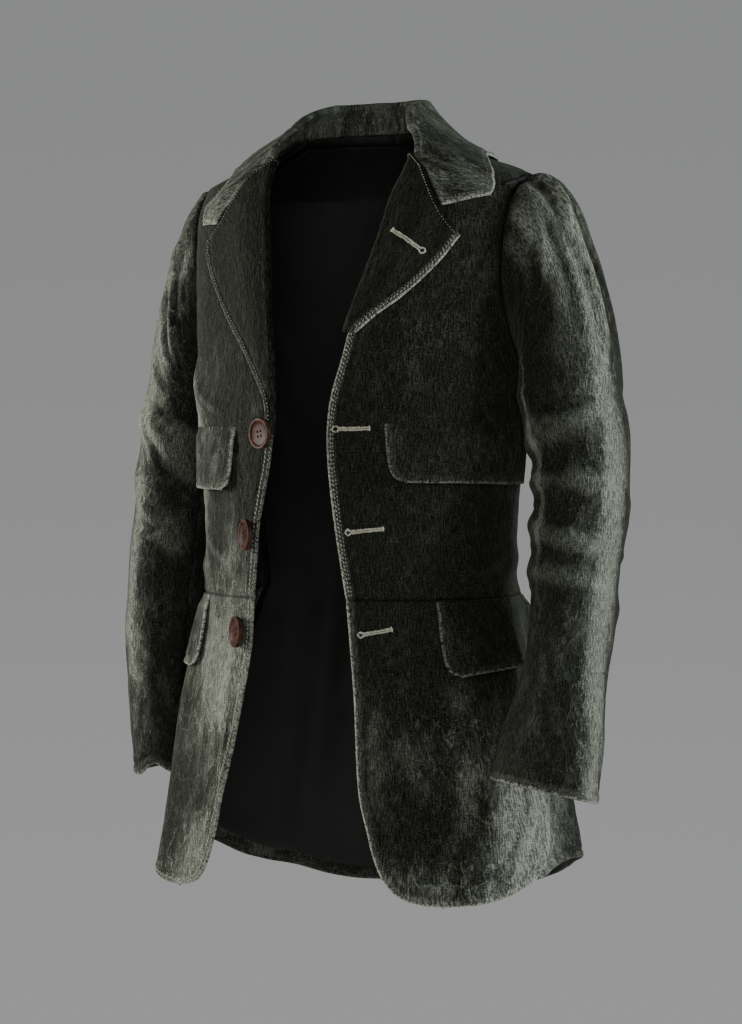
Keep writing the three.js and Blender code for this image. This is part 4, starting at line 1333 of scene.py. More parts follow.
@dataclass
class Lapels:
    """The turned-back tops of the fronts."""

    form: BodyForm
    finishes: Finishes
    roll_line: Pair
    edge: Pair = Pair(
        ((26, -192), (33.4, -176), (41, -162), (48, -146), (55, -126), (61, -104)),
        ((9.4, -274), (11.4, -250), (17, -229), (26.3, -201), (35, -179), (44.5, -152),
         (52.2, -127), (55, -114), (56, -100)),
    )
    roll: float = 3.1
    lift: float = 3.9
    belly: float = 5.0
    bow: float = 2.6
    wall: float = 2.2
    start: float = 2.2
    curl_places: int = 13
    usual_width: float = 70
    least_width: float = 16
    stitch: float = 6.5
    fray: Pair = Pair(0.9, 0.25)
    wear: Pair = Pair(0.03, 0.0)
    seeds: Pair = Pair(90, 96)
    size: Pair = Pair((0.1, 0.22), (0.115, 0.27))

    def section(self, length: float) -> Array:
        """Distance out and height of the middle of the cloth, from the turned edge outward."""
        radius = min(self.roll, length / 3)
        turn = np.radians(np.linspace(-90, 90, self.curl_places))
        out, height = radius * np.cos(turn), radius * np.sin(turn)
        curl = np.stack([-self.start - out, radius - self.wall / 2 + height], 1)
        share = spaced(max(length, self.least_width), 2.0, 1.1, False, True)[1:]
        belly = self.belly * min(1, length / 60) * np.sin(math.pi * share) ** 1.2 * (1 - share)
        rest = self.lift - self.wall / 2
        height = curl[-1, 1] + (rest - curl[-1, 1]) * ease(0, 0.9, share) + belly
        return np.vstack([curl, np.stack([length * share, height], 1)])

    def build(self) -> list[Cloth]:
        """Makes both lapels.

        Returns:
            Their cloths.
        """
        made = []
        for side in Side:
            roll, edge = through(self.roll_line.at(side)), through(self.edge.at(side))
            shares = 0.012 + 0.974 * spaced(190, 1.9, 1.1, True, True)
            start, end = roll(shares)[:, :2], edge(shares)[:, :2]
            run = np.stack([(end - start)[:, 0] * self.form.degree, (end - start)[:, 1]], 1)
            lengths = np.hypot(run[:, 0], run[:, 1])
            columns = self.curl_places + len(spaced(self.usual_width, 2.0, 1.1, False, True)) - 1
            rows = []
            for length in lengths:
                line = self.section(float(length))
                place = np.linspace(0, len(line) - 1, columns)
                keys = np.arange(len(line))
                rows.append(np.stack([np.interp(place, keys, line[:, k]) for k in (0, 1)], 1))
            section = np.stack(rows)
            out, height = section[..., 0], section[..., 1]
            ratio = out / lengths[:, None]
            notch = np.sin(math.pi * np.clip(ratio, 0, 1) ** 1.3) * ease(0.7, 1, shares)[:, None]
            turn = start[:, None, 0] + (end - start)[:, None, 0] * ratio - self.bow * notch
            level = start[:, None, 1] + (end - start)[:, None, 1] * ratio
            middle = self.form.place(turn, level, side, height)
            outward = self.form.normal(turn, level, side)
            normal = grid_normals(middle, outward)
            flat = np.stack([np.cumsum(np.gradient(out, axis=1), axis=1), level], -1)
            cloth = Cloth(
                f"velvet_lapel_{side.label}", middle + normal * self.wall / 2, flat, outward,
                bottom=Border.HIDDEN, top=Border.SEAM, outer=Border.FINISHED, inner=Border.HIDDEN,
                fray=self.fray.at(side),
            )
            seed = self.seeds.at(side)
            cloth.wear = np.full(out.shape, self.wear.at(side))
            cloth.welt(self.stitch, 0.9, seed)
            cloth.unevenness(seed + 3, 0.9)
            cloth.settle()
            piece = Wall(self.wall, FAR).build(cloth, self.finishes.velvet, self.finishes.velvet)
            size = self.size.at(side)
            declare(piece, f"lapel_{side.label}")
            made.append(cloth)
        return made


@dataclass
class Collar:
    """The stand-and-fall collar: one piece from notch to notch."""

    form: BodyForm
    finishes: Finishes
    start: float = 2.2
    lift: float = 3.9
    wall: float = 2.2
    places: int = 7
    neck_middle: tuple[float, float, float] = (0.0, 12.0, 0.0)
    measured_column: int = -12
    stitch: float = 6.5
    rows: Pair = Pair(
        # turn and level of the seam, height and lean of the fold, turn and level of the edge
        ((180, 4, 27, 0, 180, -34), (160, 4, 27, 0, 161, -34), (140, 3, 26, -1, 142, -33),
         (120, 1, 24.5, -5, 123, -31), (104, -1, 23.5, -10, 107, -29), (90, -3, 23, -14, 93, -28),
         (76, -7, 22, -14, 82.5, -32), (65, -15, 17, -10, 77, -38), (57, -25, 10, -4, 74, -45),
         (52, -34, 4, 2, 72.6, -52), (53.4, -46, 0, 0, 72.4, -58), (54.3, -60, 0, 0, 71.6, -64),
         (56.4, -78, 0, 0, 70.4, -69)),
        ((180, 4, 27, 0, 180, -34), (160, 4, 27, 0, 161, -34), (140, 3, 26, -1, 142, -33),
         (120, 1, 25, -4, 123, -32), (104, -1, 24, -7, 107, -31), (90, -3, 23, -9, 93, -31),
         (75, -7, 20, -9, 79, -33), (62, -13, 15, -6, 66, -38), (51, -22, 9, -2, 58.6, -46),
         (43, -32, 4, 2, 58, -54), (45.4, -46, 0, 0, 60, -62), (47.2, -60, 0, 0, 63, -71),
         (52.4, -87, 0, 0, 61.4, -86)),
    )

    def section(self, rows: Array, side: Side) -> Array:
        """Seven places across the collar at each station, from the neck seam to the edge."""
        turn, level, stand, lean, edge_turn, edge_level = rows.T
        fold = np.minimum(1, stand / 15)
        rise = np.array([0.0, 0.0, 1.0])
        seam = self.form.place(turn, level, side, 3.2 * (1 - fold) - 1.1 * fold)
        seam = seam + rise * (self.start * fold)[:, None]
        edge = self.form.place(edge_turn, edge_level, side, self.lift - self.wall / 2)
        along = edge - seam
        along[:, 2] *= 1 - fold
        along = unit(along)
        middle = self.form.place(
            0.5 * (turn + edge_turn), 0.5 * (level + edge_level), side, 3.4 + 6.5 * fold)

        def at(out: Array, up: Array) -> Array:
            """A place that far out and up from the seam."""
            return seam + along * out[:, None] + rise * up[:, None]

        flat = 1 - fold
        return np.stack([
            seam,
            at(1.6 * flat - 0.5 * fold, 0.62 * stand),
            at(3.2 * flat + (lean - 3) * fold, 0.95 * stand),
            at(5.5 * flat + (lean + 1.5) * fold, stand + 1.5 * fold),
            at(9 * flat + (lean + 8) * fold, stand - 5 * fold),
            middle,
            edge,
        ], 1)

    def build(self) -> list[Cloth]:
        """Makes the collar.

        Returns:
            Its cloth.
        """
        halves = []
        for side in (Side.RIGHT, Side.LEFT):
            rows = self.rows.at(side)
            at = cardinal([(k / (len(rows) - 1), *row) for k, row in enumerate(rows)])
            shares = spaced(260, 2.2, 1.1, False, True)
            half = self.section(at(shares), side)
            halves.append(half[::-1] if side is Side.RIGHT else half[1:])
        stations = np.concatenate(halves)
        keys = np.arange(self.places)
        across = (self.places - 1) * spaced(75, 1.7, 1.0, False, True)
        lines = []
        for station in stations:
            lines.append(cardinal(np.column_stack([keys, station]))(across))
        middle = np.stack(lines)
        outward = np.zeros_like(middle)
        outward[:, -1] = middle[:, -1] - np.array(self.neck_middle)
        normal = grid_normals(middle, outward)
        length = np.linalg.norm(np.diff(middle[:, self.measured_column], axis=0), axis=1)
        u = np.concatenate([[0.0], np.cumsum(length)])
        span = np.linalg.norm(np.diff(middle, axis=1), axis=2)
        v = np.concatenate([np.zeros((len(middle), 1)), np.cumsum(span, axis=1)], axis=1)
        flat = np.stack([np.broadcast_to(u[:, None], v.shape), v], -1)
        across_share = np.broadcast_to((u / u[-1])[:, None], v.shape)
        cloth = Cloth(
            "velvet_collar", middle + normal * self.wall / 2, flat, normal,
            bottom=Border.FINISHED, top=Border.FINISHED, outer=Border.FINISHED, inner=Border.HIDDEN,
            fray=0.6,
        )
        stand = ease(30, 20, v)
        # Paler toward the wearer's right end and on the stand: painted highlight where they face the lamps,
        # over real rubbing.
        cloth.wear = 0.47 + 0.17 * ease(0.35, 0.0, across_share) + 0.05 * stand
        cloth.relief += 0.7 * stand * ripple(flat[..., 0], 0.12 * v, 13, 126)
        cloth.welt(self.stitch, 0.9, 120)
        cloth.unevenness(123, 0.9)
        cloth.settle()
        piece = Wall(self.wall, FAR).build(cloth, self.finishes.velvet, self.finishes.velvet)
        declare(piece, "collar")
        return [cloth]


@dataclass
class Sleeves:
    """Two-piece sleeves, gathered at the head."""

    form: BodyForm
    finishes: Finishes
    rows: Pair = Pair(
        ((-589.5, 224, -84, 50, 32), (-550, 224, -69, 47, 34), (-515, 225.5, -53, 40.5, 38),
         (-475, 226, -37, 36.5, 41), (-430, 225, -22, 37.5, 43), (-385, 223, -10, 40, 45),
         (-340, 224, -2, 41, 47), (-295, 221, 3, 43, 50), (-245, 208, 6, 46, 53)),
        ((-606, 220, 22, 34, 44), (-565, 222, 20, 34, 45), (-520, 222, 16, 35, 46),
         (-475, 221, 14, 37, 47), (-430, 218, 13, 38, 47), (-385, 213, 13, 39, 48),
         (-340, 206, 14, 39, 49), (-295, 201, 15, 39, 51), (-245, 195, 16, 36, 53)),
    )
    head_share: float = 0.36
    head_rows: Pair = Pair(
        ((0, 33, 11, 76), (45, 33, 8, 70), (75, 29, 4, 56), (100, 22, 2, 40),
         (125, 14, 0, 24), (150, 6, 0, 10), (180, 4, 0, 4)),
        ((0, 18, 8, 64), (45, 18, 6, 58), (75, 18, 4, 50), (100, 16, 2, 36),
         (125, 12, 0, 22), (150, 6, 0, 10), (180, 4, 0, 4)),
    )
    seams: tuple[float, float] = (-104, 155)
    start: float = 1.0
    under: float = 1.3
    armhole_middle: tuple[float, float] = (94, -140)
    cuff_lean: Pair = Pair((-0.15, 0.17, 0.0), (0.0, 0.0, 0.0))
    vent_start: float = 0.9
    vent_turn: float = 5.0
    cuff_arch: Pair = Pair((105, 30, 0.0), (100, 20, 11.0))
    length: float = 560
    stretch: float = 1.2
    degree: float = 0.8
    crease_degree: float = 0.78
    head_length: float = 220
    wall: float = 2.0
    gathers: Table = (
        # angle, half width, height, share of the head that it runs down
        (-58, 8, 4.5, 0.55), (-34, 8, 5.5, 0.7), (-10, 8, 6, 0.8), (14, 8.5, 7, 0.95),
        (38, 8, 5, 0.6), (58, 8.5, 7, 0.85), (80, 8, 4.5, 0.55),
    )
    folds: Table = (
        # angle and share at both ends, half width, height, side
        (60, 0.4, 176, 0.43, 12, 5, 0), (70, 0.5, 176, 0.49, 11, 5, 1), (60, 0.6, 170, 0.56, 11, 5, 1),
        (70, 0.66, 175, 0.63, 10, 4, 1), (40, 0.36, 130, 0.46, 13, 5, -1), (50, 0.5, 120, 0.58, 13, 4, -1),
        (-60, 0.55, -150, 0.6, 13, 5, 0), (-50, 0.68, -140, 0.66, 12, 4, 0),
    )
    creases: Table = (
        # angle and share at both ends, half width, height, trough, side
        (46, 0.05, 66, 0.16, 4.5, 3.0, 0.8, 1),
        (132, 0.2, 124, 0.34, 1.7, 1.3, 0.9, 1),
        (124, 0.34, 119.5, 0.52, 1.6, 1.3, 0.9, 1),
        (119.5, 0.52, 112, 0.6, 1.6, 1.1, 0.9, 1),
        (64, 0.15, 84, 0.21, 4.0, 1.6, 0.6, 1),
        (6, 0.035, 25, 0.15, 4.0, 3.6, 0.9, 1),
        (25, 0.14, 12, 0.29, 4.5, 3.0, 1.0, 1),
        (2, 0.16, -26, 0.34, 6.0, 2.6, 0.8, 1),
        (27, 0.04, 23, 0.085, 5.5, -3.4, 0.0, 1),
        (150, 0.47, 112, 0.50, 3.5, 1.3, 0.7, 1),
        (155, 0.53, 108, 0.56, 3.0, 1.2, 0.7, 1),
        (150, 0.60, 104, 0.60, 3.0, 1.2, 0.7, 1),
        (152, 0.66, 112, 0.68, 3.0, 1.0, 0.7, 1),
        (66, 0.10, 84, 0.20, 4.5, 3.4, 0.8, -1),
        (84, 0.19, 110, 0.26, 4.0, 3.0, 0.9, -1),
        (70, 0.22, 102, 0.28, 4.0, 2.8, 0.9, -1),
        (64, 0.29, 90, 0.34, 5.0, 2.6, 0.8, -1),
        (77, 0.38, 110, 0.425, 4.0, 3.2, 0.9, -1),
        (68, 0.41, 94, 0.475, 4.0, 2.8, 0.9, -1),
        (64, 0.53, 104, 0.562, 4.0, 2.4, 0.8, -1),
        (62, 0.588, 122, 0.577, 3.4, 3.0, 1.0, -1),
        (68, 0.64, 104, 0.655, 4.0, 1.8, 0.7, -1),
        (74, 0.79, 98, 0.82, 6.0, 2.0, 0.6, -1),
        (-20, 0.60, -90, 0.62, 5.0, 1.8, 0.6, 0),
        (-30, 0.52, -96, 0.50, 5.0, 1.6, 0.6, 0),
    )

    # Paleness of the pile: real rubbing mixed with painted highlight where the sleeves face a lamp, as on the
    # outer side of the left sleeve near the cuff and the front of the right sleeve.
    base_wear: Pair = Pair(0.2, 0.25)
    worn_places: Table = (
        # angle, share, reach of both, amount, side
        (18, 0.78, 22, 0.5, 0.75, 1),
        (26, 0.4, 14, 0.2, 0.35, 1),
        (24, 0.16, 12, 0.12, 0.4, 1),
        (62, 0.13, 12, 0.1, 0.35, 1),
        (120, 0.62, 12, 0.2, 0.2, 1),
        (125, 0.34, 4, 0.14, 0.8, 1),
        (119, 0.52, 4, 0.1, 0.6, 1),
        (66, 0.42, 18, 0.22, 0.35, -1),
        (84, 0.27, 30, 0.16, 0.5, -1),
        (70, 0.76, 34, 0.2, 0.25, -1),
        (60, 0.6, 30, 0.4, 0.16, 1),
        (62, 0.62, 16, 0.16, 0.3, -1),
        (80, 0.8, 14, 0.04, 0.3, -1),
        (-120, 0.55, 40, 0.18, 0.3, 0),
        (-50, 0.15, 24, 0.14, 0.25, 0),
    )

    def build(self) -> list[Cloth]:
        """Makes the four sleeve pieces.

        Returns:
            Their cloths.
        """
        made = []
        for side in Side:
            hind, fore = self.seams
            made.append(self.piece("top", side, hind, fore, 96))
            made.append(self.piece("under", side, fore, hind + 360, 40))
        return made

    def frame(self, share: Array, side: Side) -> tuple[Array, ...]:
        """Middle, size and directions of the sleeve's rings.

        Args:
            share: Share of the length below the head.
            side: The wearer's left or right.

        Returns:
            Middle, half width, half depth, and the directions down, ahead and out.
        """
        rows = self.rows.at(side)[::-1]
        path = monotone([(k / (len(rows) - 1), *row) for k, row in enumerate(rows)])

        def centre(at: Array) -> Array:
            """Middle of a ring."""
            level, out, ahead = path(at)[..., 0], path(at)[..., 1], path(at)[..., 2]
            return np.stack([side.value * out, ahead, level], -1)

        down = unit(centre(np.minimum(1, share + 0.04)) - centre(np.maximum(0, share - 0.04)))
        blend = np.where(share < 0.08, share / 0.08, 1.0)[..., None]
        down = down * blend + np.array([0.0, 0.0, -1.0]) * (1 - blend)
        lean = np.array([side.value, 1.0, 1.0]) * self.cuff_lean.at(side)
        down = unit(down + ease(0.7, 1, share)[..., None] * lean)
        ahead = unit(np.array([0.0, -1.0, 0.0]) + down * down[..., 1:2])
        out = unit(np.cross(ahead, down) * side.value)
        out = np.where(out[..., :1] * side.value < 0, -out, out)
        return centre(share), path(share)[..., 3], path(share)[..., 4], down, ahead, out

    def ring(self, angle: Array, share: Array, side: Side) -> tuple[Array, Array]:
        """Places on the rings and the direction down."""
        centre, width, depth, down, ahead, out = self.frame(share, side)
        turn = np.radians(angle)[..., None]
        point = centre + out * width[..., None] * np.cos(turn) + ahead * depth[..., None] * np.sin(turn)
        return point, down

    def head(self, angle: Array, share: Array, side: Side) -> Array:
        """Places between the armhole and the first ring."""
        hole = cardinal(ARMHOLE)
        spot, ahead = hole(angle), hole((angle + 2 + 180) % 360 - 180)
        reach, rise, lead = np.moveaxis(monotone(self.head_rows.at(side))(np.abs(angle)), -1, 0)
        origin = self.form.place(spot[..., 0], spot[..., 1], side)
        loop = unit(self.form.place(ahead[..., 0], ahead[..., 1], side) - origin)
        normal = self.form.normal(spot[..., 0], spot[..., 1], side)
        inward = unit(np.cross(loop, normal))
        middle = self.form.place(*self.armhole_middle, side)
        flip = np.sum(inward * (middle - origin), -1, keepdims=True) < 0
        inward = np.where(flip, -inward, inward)
        start = origin + inward * self.start - normal * self.under
        end, down = self.ring(angle, np.zeros_like(angle), side)
        first = start + np.stack(
            [side.value * reach, 0 * reach, rise * np.cos(np.radians(angle))], -1)
        second = end - down * lead[..., None]
        s = share[..., None]
        rest = 1 - s
        return start * rest**3 + first * 3 * rest**2 * s + second * 3 * rest * s**2 + end * s**3

    def swell(self, angle: Array, share: Array, side: Side) -> Array:
        """Height of gathers, folds and creases."""
        total = np.zeros(angle.shape)
        for at, width, height, part in self.gathers:
            place = share / (self.head_share * part)
            fade = ease(0, 0.14, place) * (1 - ease(0.3, 1, place))
            total += height * fade * bell(angle - at, width)
        along = share * self.length
        late = ease(0.3, 0.42, share)
        for row in self.scaled(self.folds, side):
            total += broad_fold(angle, along, row, self.degree) * late
        for row in self.scaled(self.creases, side):
            total += crease(angle, along, row, self.crease_degree)
        return total

    def scaled(self, rows: Table, side: Side) -> list[tuple[float, ...]]:
        """The rows of a side, their shares of the length in millimetres."""
        return [
            (row[0], row[1] * self.length, row[2], row[3] * self.length, *row[4:])
            for row in on_side(rows, side)
        ]

    def piece(self, kind: str, side: Side, low: float, high: float, columns: int) -> Cloth:
        """Makes the top or under part of a sleeve.

        Args:
            kind: Top or under.
            side: The wearer's left or right.
            low: First angle round the sleeve.
            high: Last angle.
            columns: Places round it.

        Returns:
            Its cloth.
        """
        shares = spaced(self.length * self.stretch, 2.6, 1.2, False, True)
        hind = self.seams[0]
        opening = self.vent_turn * ease(self.vent_start, 1, shares)
        first = low + opening * (low == hind)
        last = high - opening * (high == hind + 360)
        part = np.linspace(0, 1, columns + 1)
        angle = first[:, None] + (last - first)[:, None] * part
        turned = (angle + 180) % 360 - 180
        share = np.broadcast_to(shares[:, None], angle.shape)
        below = np.clip((share - self.head_share) / (1 - self.head_share), 0, 1)
        head = self.head(turned, np.clip(share / self.head_share, 0, 1), side)
        rings, _ = self.ring(turned, below, side)
        points = np.where((share < self.head_share)[..., None], head, rings)
        centre = self.frame(below, side)[0]
        outward = points - centre
        normal = grid_normals(points, outward)
        swell = self.swell(turned, share, side)
        points = points + normal * swell[..., None]
        middle, reach, rise = self.cuff_arch.at(side)
        arch = rise * ease(0.95, 1.0, share) * bell(turned - middle, reach)
        points = points + np.array([0.0, 0.0, 1.0]) * arch[..., None]
        flat = np.stack([angle * self.degree, -share * self.length * self.stretch], -1)
        cloth = Cloth(
            f"velvet_sleeve_{kind}_{side.label}", points, flat, normal, bottom=Border.SEAM,
            top=Border.FINISHED, inner=Border.SEAM, outer=Border.SEAM, fray=0.45,
        )
        seed = 140 + (0 if kind == "top" else 20) + (0 if side is Side.LEFT else 40)
        cloth.wear = rubbed(turned, share, self.base_wear.at(side), self.worn_places, side)
        cloth.welt(9.0, 0.8, seed)
        cloth.valley(1.4, 2.2, seed + 3)
        cloth.unevenness(seed + 6, 1.1)
        gathers = ripple(angle * 2.4, share * self.head_length, 11, seed + 9)
        cloth.relief += 0.8 * gathers * (1 - ease(0.0, 0.09, share))
        cloth.settle()
        cloth.relief += 0.5 * swell
        piece = Wall(self.wall, 14).build(cloth, self.finishes.velvet, self.finishes.lining)
        declare(piece, f"sleeve_{kind}_{side.label}")
        return cloth


# ---------------------------------------------------------------- buttons
@dataclass
class Buttons:
    """Three horn buttons with a raised rim and four holes."""

    form: BodyForm
    finishes: Finishes
    radius: float = 14.0
    thickness: float = 4.2
    stand: float = 6.4
    rim: float = 2.4
    slope: float = 1.5
    dish: float = 1.1
    well_start: float = 4.2
    well: float = 0.35
    rounding: float = 0.75
    hole: float = 1.3
    hole_ring: float = 3.1
    places: tuple[tuple[str, float, float, float], ...] = (
        # node, turn, level, and how many degrees further it faces to the wearer's right
        ("button_top", 11.6, -280, 12),
        ("button_middle", 20.2, -370, 18),
        ("button_bottom", 25.2, -458, 14),
    )

    def model(self) -> Piece:
        """Models one button at the origin, its face up."""
        button = shape(bpy.ops.mesh.primitive_cylinder_add, vertices=64, radius=self.radius * MM,
                       depth=self.thickness * MM, location=(0, 0, 0))
        bpy.ops.object.mode_set(mode="EDIT")
        self.pick(button, 0.4)
        bpy.ops.mesh.inset(thickness=self.rim * MM)
        bpy.ops.mesh.inset(thickness=self.slope * MM)
        bpy.ops.transform.translate(value=(0, 0, -self.dish * MM))
        bpy.ops.mesh.inset(thickness=self.well_start * MM)
        bpy.ops.transform.translate(value=(0, 0, -self.well * MM))
        bpy.ops.object.mode_set(mode="OBJECT")
        self.soften(button, self.rounding * MM, 3)
        for turn in range(4):
            angle = math.radians(45 + 90 * turn)
            spot = Vector((math.cos(angle), math.sin(angle), 0)) * self.hole_ring * MM
            drill = shape(bpy.ops.mesh.primitive_cylinder_add, vertices=20, radius=self.hole * MM,
                          depth=4 * self.thickness * MM, location=spot)
            cut = button.modifiers.new("hole", "BOOLEAN")
            cut.object = drill
            cut.operation = "DIFFERENCE"
            bpy.context.view_layer.objects.active = button
            bpy.ops.object.modifier_apply(modifier=cut.name)
            bpy.data.objects.remove(drill)
        return button

    @staticmethod
    def pick(target: Piece, upward: float) -> None:
        """Selects the faces of a piece in edit mode that face up."""
        mesh = bmesh.from_edit_mesh(target.data)
        bpy.ops.mesh.select_mode(type="FACE")
        bpy.ops.mesh.select_all(action="DESELECT")
        for face in mesh.faces:
            face.select_set(face.normal.z > upward)
        bmesh.update_edit_mesh(target.data)

    @staticmethod
    def soften(target: Piece, width: float, segments: int) -> None:
        """Rounds the sharp edges of a piece."""
        bevel = target.modifiers.new("round", "BEVEL")
        bevel.width = width
        bevel.segments = segments
        bevel.limit_method = "ANGLE"
        bevel.angle_limit = math.radians(20)
        bpy.context.view_layer.objects.active = target
        bpy.ops.object.modifier_apply(modifier=bevel.name)

    def build(self) -> None:
        """Puts a button at each place."""
        pattern = self.model()
        for name, turn, level, lean in self.places:
            normal = self.form.normal(np.array(turn), np.array(level), Side.RIGHT)
            centre = self.form.place(np.array(turn), np.array(level), Side.RIGHT, self.stand)
            tilt = Vector((0, 0, 1)).rotation_difference(Vector(normal)).to_matrix().to_4x4()
            pose = Matrix.Rotation(math.radians(-lean), 4, "Z") @ tilt
            pose = Matrix.Translation(Vector(centre) * MM) @ pose
            mesh = pattern.data.copy()
            mesh.name = f"horn_{name}"
            mesh.transform(pose)
            piece = placed(f"horn_{name}", mesh)
            mesh.materials.clear()
            mesh.materials.append(self.finishes.horn)
            bpy.ops.object.select_all(action="DESELECT")
            piece.select_set(True)
            bpy.context.view_layer.objects.active = piece
            bpy.ops.object.shade_smooth_by_angle(angle=math.radians(35))
            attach(piece, BODY)
            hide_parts(name)
            LOG.info("%s", piece.name)
        bpy.data.objects.remove(pattern)


# ---------------------------------------------------------------- sewing
@dataclass(frozen=True)
class Row:
    """A row of hand stitches along a border.

    Its distance from the border, the stitches' slant in degrees, and their length, thickness
    and gap, in millimetres.
    """

    distance: float
    slant: float
    long: float
    thick: float
    gap: float


ROPE = (Row(0.9, 32, 3.2, 0.6, 0.5), Row(3.6, 26, 2.8, 0.5, 1.0))
DOTS = Row(6.6, 10, 1.7, 0.4, 2.0)
WELTED = (Row(1.0, 20, 2.0, 0.4, 1.6), Row(5.4, 34, 3.6, 0.62, 0.4))
GORGE = Row(2.2, 6, 1.4, 0.36, 1.5)


@dataclass
class Sewing:
    """Rows of hand stitches and worked buttonholes."""

    form: BodyForm
    finishes: Finishes
    lift: float = 0.3
    rows: dict[str, tuple[Row, ...]] = field(default_factory=lambda: {
        "velvet_front_right": WELTED,
        "velvet_skirt_front_right": WELTED,
        "velvet_front_left": (*ROPE, DOTS),
        "velvet_skirt_front_left": (ROPE[0],),
        "velvet_lapel_left": (*ROPE, DOTS),
        "velvet_lapel_right": (Row(6.0, 10, 1.5, 0.38, 2.0),),
        "velvet_collar": (Row(1.6, 16, 1.8, 0.4, 1.8), Row(6.2, 8, 1.3, 0.32, 2.8)),
    })
    holes: tuple[tuple[str, float, float, float, float], ...] = (
        # piece, turn and level of the eye and of the bar
        ("velvet_front_left", 18.4, -276, 32, -275.5),
        ("velvet_front_left", 23.2, -367.5, 37, -364),
        ("velvet_skirt_front_left", 28, -458, 40, -452.5),
        ("velvet_lapel_left", 49.6, -121, 39.8, -102),
    )
    slit: float = 0.95
    eye: float = 2.4
    eye_middle: float = 2.2
    eye_end: float = 4.4
    eye_turns: tuple[float, float, int] = (35, 325, 16)
    worked_pitch: float = 0.85
    bar: float = 1.6
    # spacing, start, width and wider eye of the black bars that paint the slit's shadow
    dark_pitch: float = 1.6
    dark_start: float = 1.2
    dark_width: float = 0.85
    dark_eye: float = 4.0
    reach: float = 12.0
    stray: float = 3.5
    wander: float = 0.35
    tilt: float = 7.0

    def stitch(self) -> tuple[Array, Array]:
        """Models one stitch along X and gives its places and faces."""
        made = shape(bpy.ops.mesh.primitive_uv_sphere_add, segments=6, ring_count=4, radius=1.0)
        bpy.ops.object.mode_set(mode="EDIT")
        bpy.ops.mesh.select_all(action="SELECT")
        bpy.ops.transform.rotate(
            value=math.pi / 2, orient_axis="Y", center_override=(0.0, 0.0, 0.0))
        bpy.ops.object.mode_set(mode="OBJECT")
        bpy.context.view_layer.objects.active = made
        bpy.ops.object.modifier_add(type="TRIANGULATE")
        bpy.ops.object.modifier_apply(modifier=made.modifiers[0].name)
        places = np.array([v.co for v in made.data.vertices])
        faces = np.array([list(p.vertices) for p in made.data.polygons])
        bpy.data.objects.remove(made)
        return places, faces

    def build(self, cloths: Sequence[Cloth]) -> None:
        """Sews the edges of the cloths and works the buttonholes.

        Args:
            cloths: Pieces with finished edges.
        """
        pattern = self.stitch()
        for cloth in cloths:
            frames = []
            for row in self.rows.get(cloth.name, ()):
                for line in cloth.borders(Border.FINISHED):
                    frames += self.frames(cloth, line, row)
            if cloth.name.startswith("velvet_lapel"):
                frames += self.frames(cloth, cloth.points[-1], GORGE)
            place = cloth.name.removeprefix("velvet_")
            self.add(f"stitches_{place}", frames, pattern, self.finishes.sewing)
        for index, (name, *ends) in enumerate(self.holes, start=1):
            cloth = next(found for found in cloths if found.name == name)
            worked, slit = self.buttonhole(cloth, ends)
            self.add(f"buttonhole_{index}", worked, pattern, self.finishes.buttonhole)
            # the slit's painted shadow, in the black lining finish
            self.add(f"buttonhole_slit_{index}", slit, pattern, self.finishes.lining)

    @staticmethod
    def add(name: str, frames: list[Array], pattern: tuple[Array, Array], finish: Material) -> None:
        """Makes one object of many stitches."""
        if not frames:
            return
        spots, faces = pattern
        places = [spots @ frame[:3] + frame[3] for frame in frames]
        corners = [faces + index * len(spots) for index in range(len(frames))]
        mesh = bpy.data.meshes.new(name)
        mesh.from_pydata((np.vstack(places) * MM).tolist(), [], np.vstack(corners).tolist())
        mesh.materials.append(finish)
        mesh.shade_smooth()
        piece = placed(name, mesh)
        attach(piece, BODY)
        LOG.info("%s: %d stitches", name, len(frames))

    @staticmethod
    def grown(surface: Array, wanted: Array) -> KDTree:
        """A tree of some places of a cloth."""
        tree = KDTree(len(wanted))
        for index in wanted:
            tree.insert(surface[index], int(index))
        tree.balance()
        return tree

    def buttonhole(self, cloth: Cloth, ends: Sequence[float]) -> tuple[list[Array], list[Array]]:
        """Works a keyhole buttonhole: stitches square to its outline, round a slit filled with flat black
        bars as painted shadow.

        Args:
            cloth: The piece that it is in.
            ends: Turn and level of the eye and of the bar.

        Returns:
            The stitches of the outline and the flat black bars of painted shadow that fill the slit.
        """
        surface, normals = cloth.listed()
        tree = self.grown(surface, np.arange(len(surface)))
        start, run = np.array(ends[:2]), np.array(ends[2:]) - np.array(ends[:2])
        run = run * (self.form.degree, 1.0)
        length = float(np.hypot(*run))
        ahead = run / length
        beside = np.array([-ahead[1], ahead[0]])

        def spot(along: float, across: float) -> tuple[Array, Array]:
            """Place and normal on the cloth."""
            step = ahead * along + beside * across
            guess = self.form.place(
                start[0] + step[0] / self.form.degree, start[1] + step[1], Side.LEFT, 3.0)
            near = tree.find_n(guess, 4)
            weight = np.array([1 / (0.3 + item[2]) for item in near])
            up = unit(sum(w * normals[item[1]] for w, item in zip(weight, near)))
            base = sum(w * surface[item[1]] for w, item in zip(weight, near)) / weight.sum()
            return guess - up * float(np.dot(guess - base, up)), up

